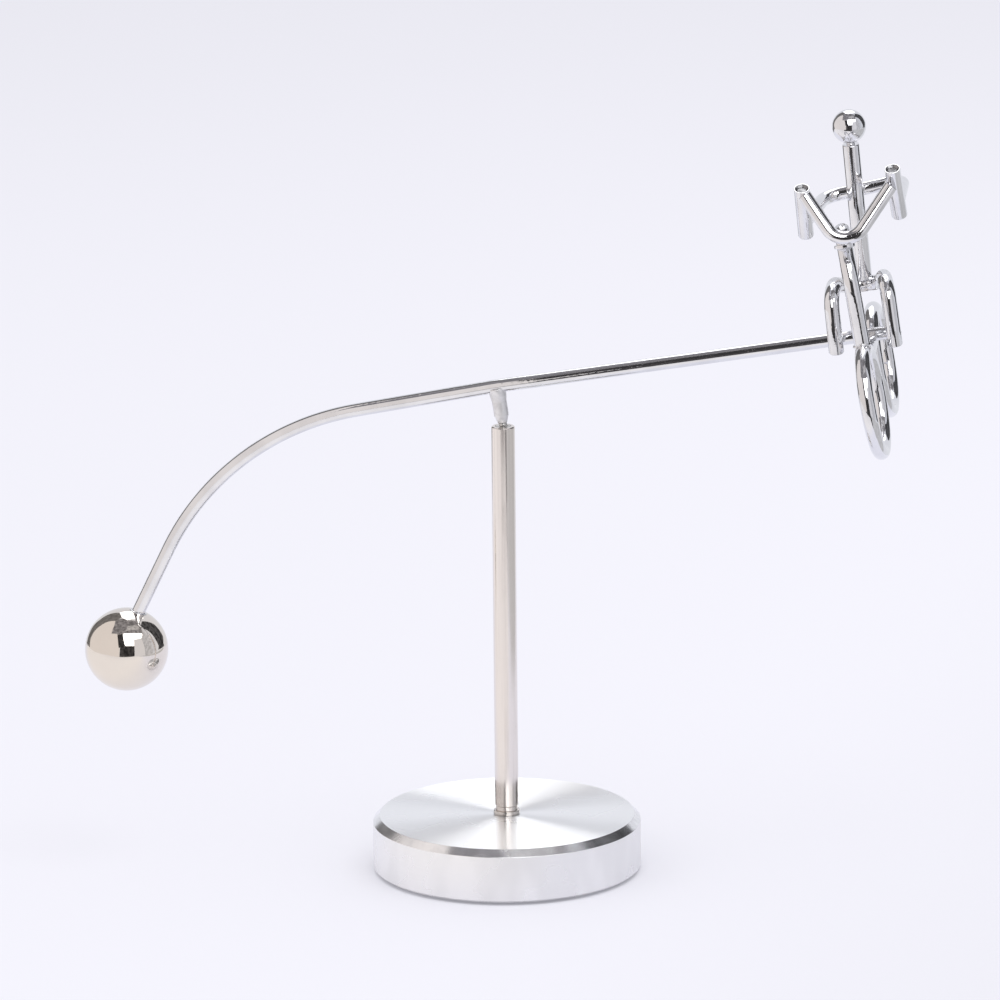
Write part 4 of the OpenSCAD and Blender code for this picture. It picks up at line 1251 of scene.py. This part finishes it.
def makeWorld():
    # The camera sees the paper's colour, mirror rays a studio's walls, and the rest is soft white light
    world = bpy.data.worlds.new("studio")
    scene.world = world
    world.use_nodes = True
    tree = world.node_tree
    tree.nodes.clear()
    out = tree.nodes.new("ShaderNodeOutputWorld")
    seen, mirrored, light = (tree.nodes.new("ShaderNodeBackground") for _ in range(3))
    seen.inputs["Color"].default_value = (*studio["paper"], 1)
    mirrored.inputs["Color"].default_value = (*studio["glossy"], 1)
    light.inputs["Color"].default_value = (1, 1, 1, 1)
    light.inputs["Strength"].default_value = studio["diffuse"]
    glossyMix, cameraMix = tree.nodes.new("ShaderNodeMixShader"), tree.nodes.new("ShaderNodeMixShader")
    tree.links.new(rayMask(tree, ["Is Glossy Ray", "Is Transmission Ray"]), glossyMix.inputs[0])
    tree.links.new(light.outputs[0], glossyMix.inputs[1])
    tree.links.new(mirrored.outputs[0], glossyMix.inputs[2])
    tree.links.new(rayMask(tree, ["Is Camera Ray"]), cameraMix.inputs[0])
    tree.links.new(glossyMix.outputs[0], cameraMix.inputs[1])
    tree.links.new(seen.outputs[0], cameraMix.inputs[2])
    tree.links.new(cameraMix.outputs[0], out.inputs["Surface"])


makeWorld()

lamps = {  # place, size, watts
    "lampTop": ((0.5, -0.4, 1.5), 1.0, 4), "lampLeft": ((-1.3, -0.9, 1.1), 0.9, 2),
}


def makeLamp(name, place, size, watts):
    data = bpy.data.lights.new(name, "AREA")
    data.shape, data.size, data.energy = "DISK", size, watts
    lamp = bpy.data.objects.new(name, data)
    scene.collection.objects.link(lamp)
    axes = axesAlong(unit(np.asarray(place, float) - np.asarray(studio["lampAim"], float)))
    lamp.matrix_world = Matrix([[*axes[i], place[i]] for i in range(3)] + [[0, 0, 0, 1]])
    lamp.visible_glossy = lamp.visible_camera = False


for name, values in lamps.items():
    makeLamp(name, *values)

photoView = {  # angles in degrees, lens and sensor in millimetres, the rest in metres
    "distance": 2.5, "azimuth": 5.4, "elevation": 14.2551, "roll": -0.5655, "lens": 303.98,
    "shift": -0.001134, "height": 0.113312, "sensor": 36, "near": 0.05, "far": 50,
}


def makeCamera():
    # back = (sin az cos el, -cos az cos el, sin el); right and up are then turned by the roll about it
    a, e, roll = (math.radians(photoView[k]) for k in ("azimuth", "elevation", "roll"))
    right = vec(math.cos(a), math.sin(a), 0)
    back = vec(math.sin(a) * math.cos(e), -math.cos(a) * math.cos(e), math.sin(e))
    up = np.cross(back, right)
    x = math.cos(roll) * right + math.sin(roll) * up
    y = -math.sin(roll) * right + math.cos(roll) * up
    place = photoView["shift"] * right + vec(0, 0, photoView["height"]) + photoView["distance"] * back
    data = bpy.data.cameras.new("camera")
    data.lens, data.sensor_width = photoView["lens"], photoView["sensor"]
    data.clip_start, data.clip_end = photoView["near"], photoView["far"]
    camera = bpy.data.objects.new("camera", data)
    scene.collection.objects.link(camera)
    camera.matrix_world = Matrix([[x[i], y[i], back[i], place[i]] for i in range(3)] + [[0, 0, 0, 1]])
    scene.camera = camera


makeCamera()
print("stage: studio made")
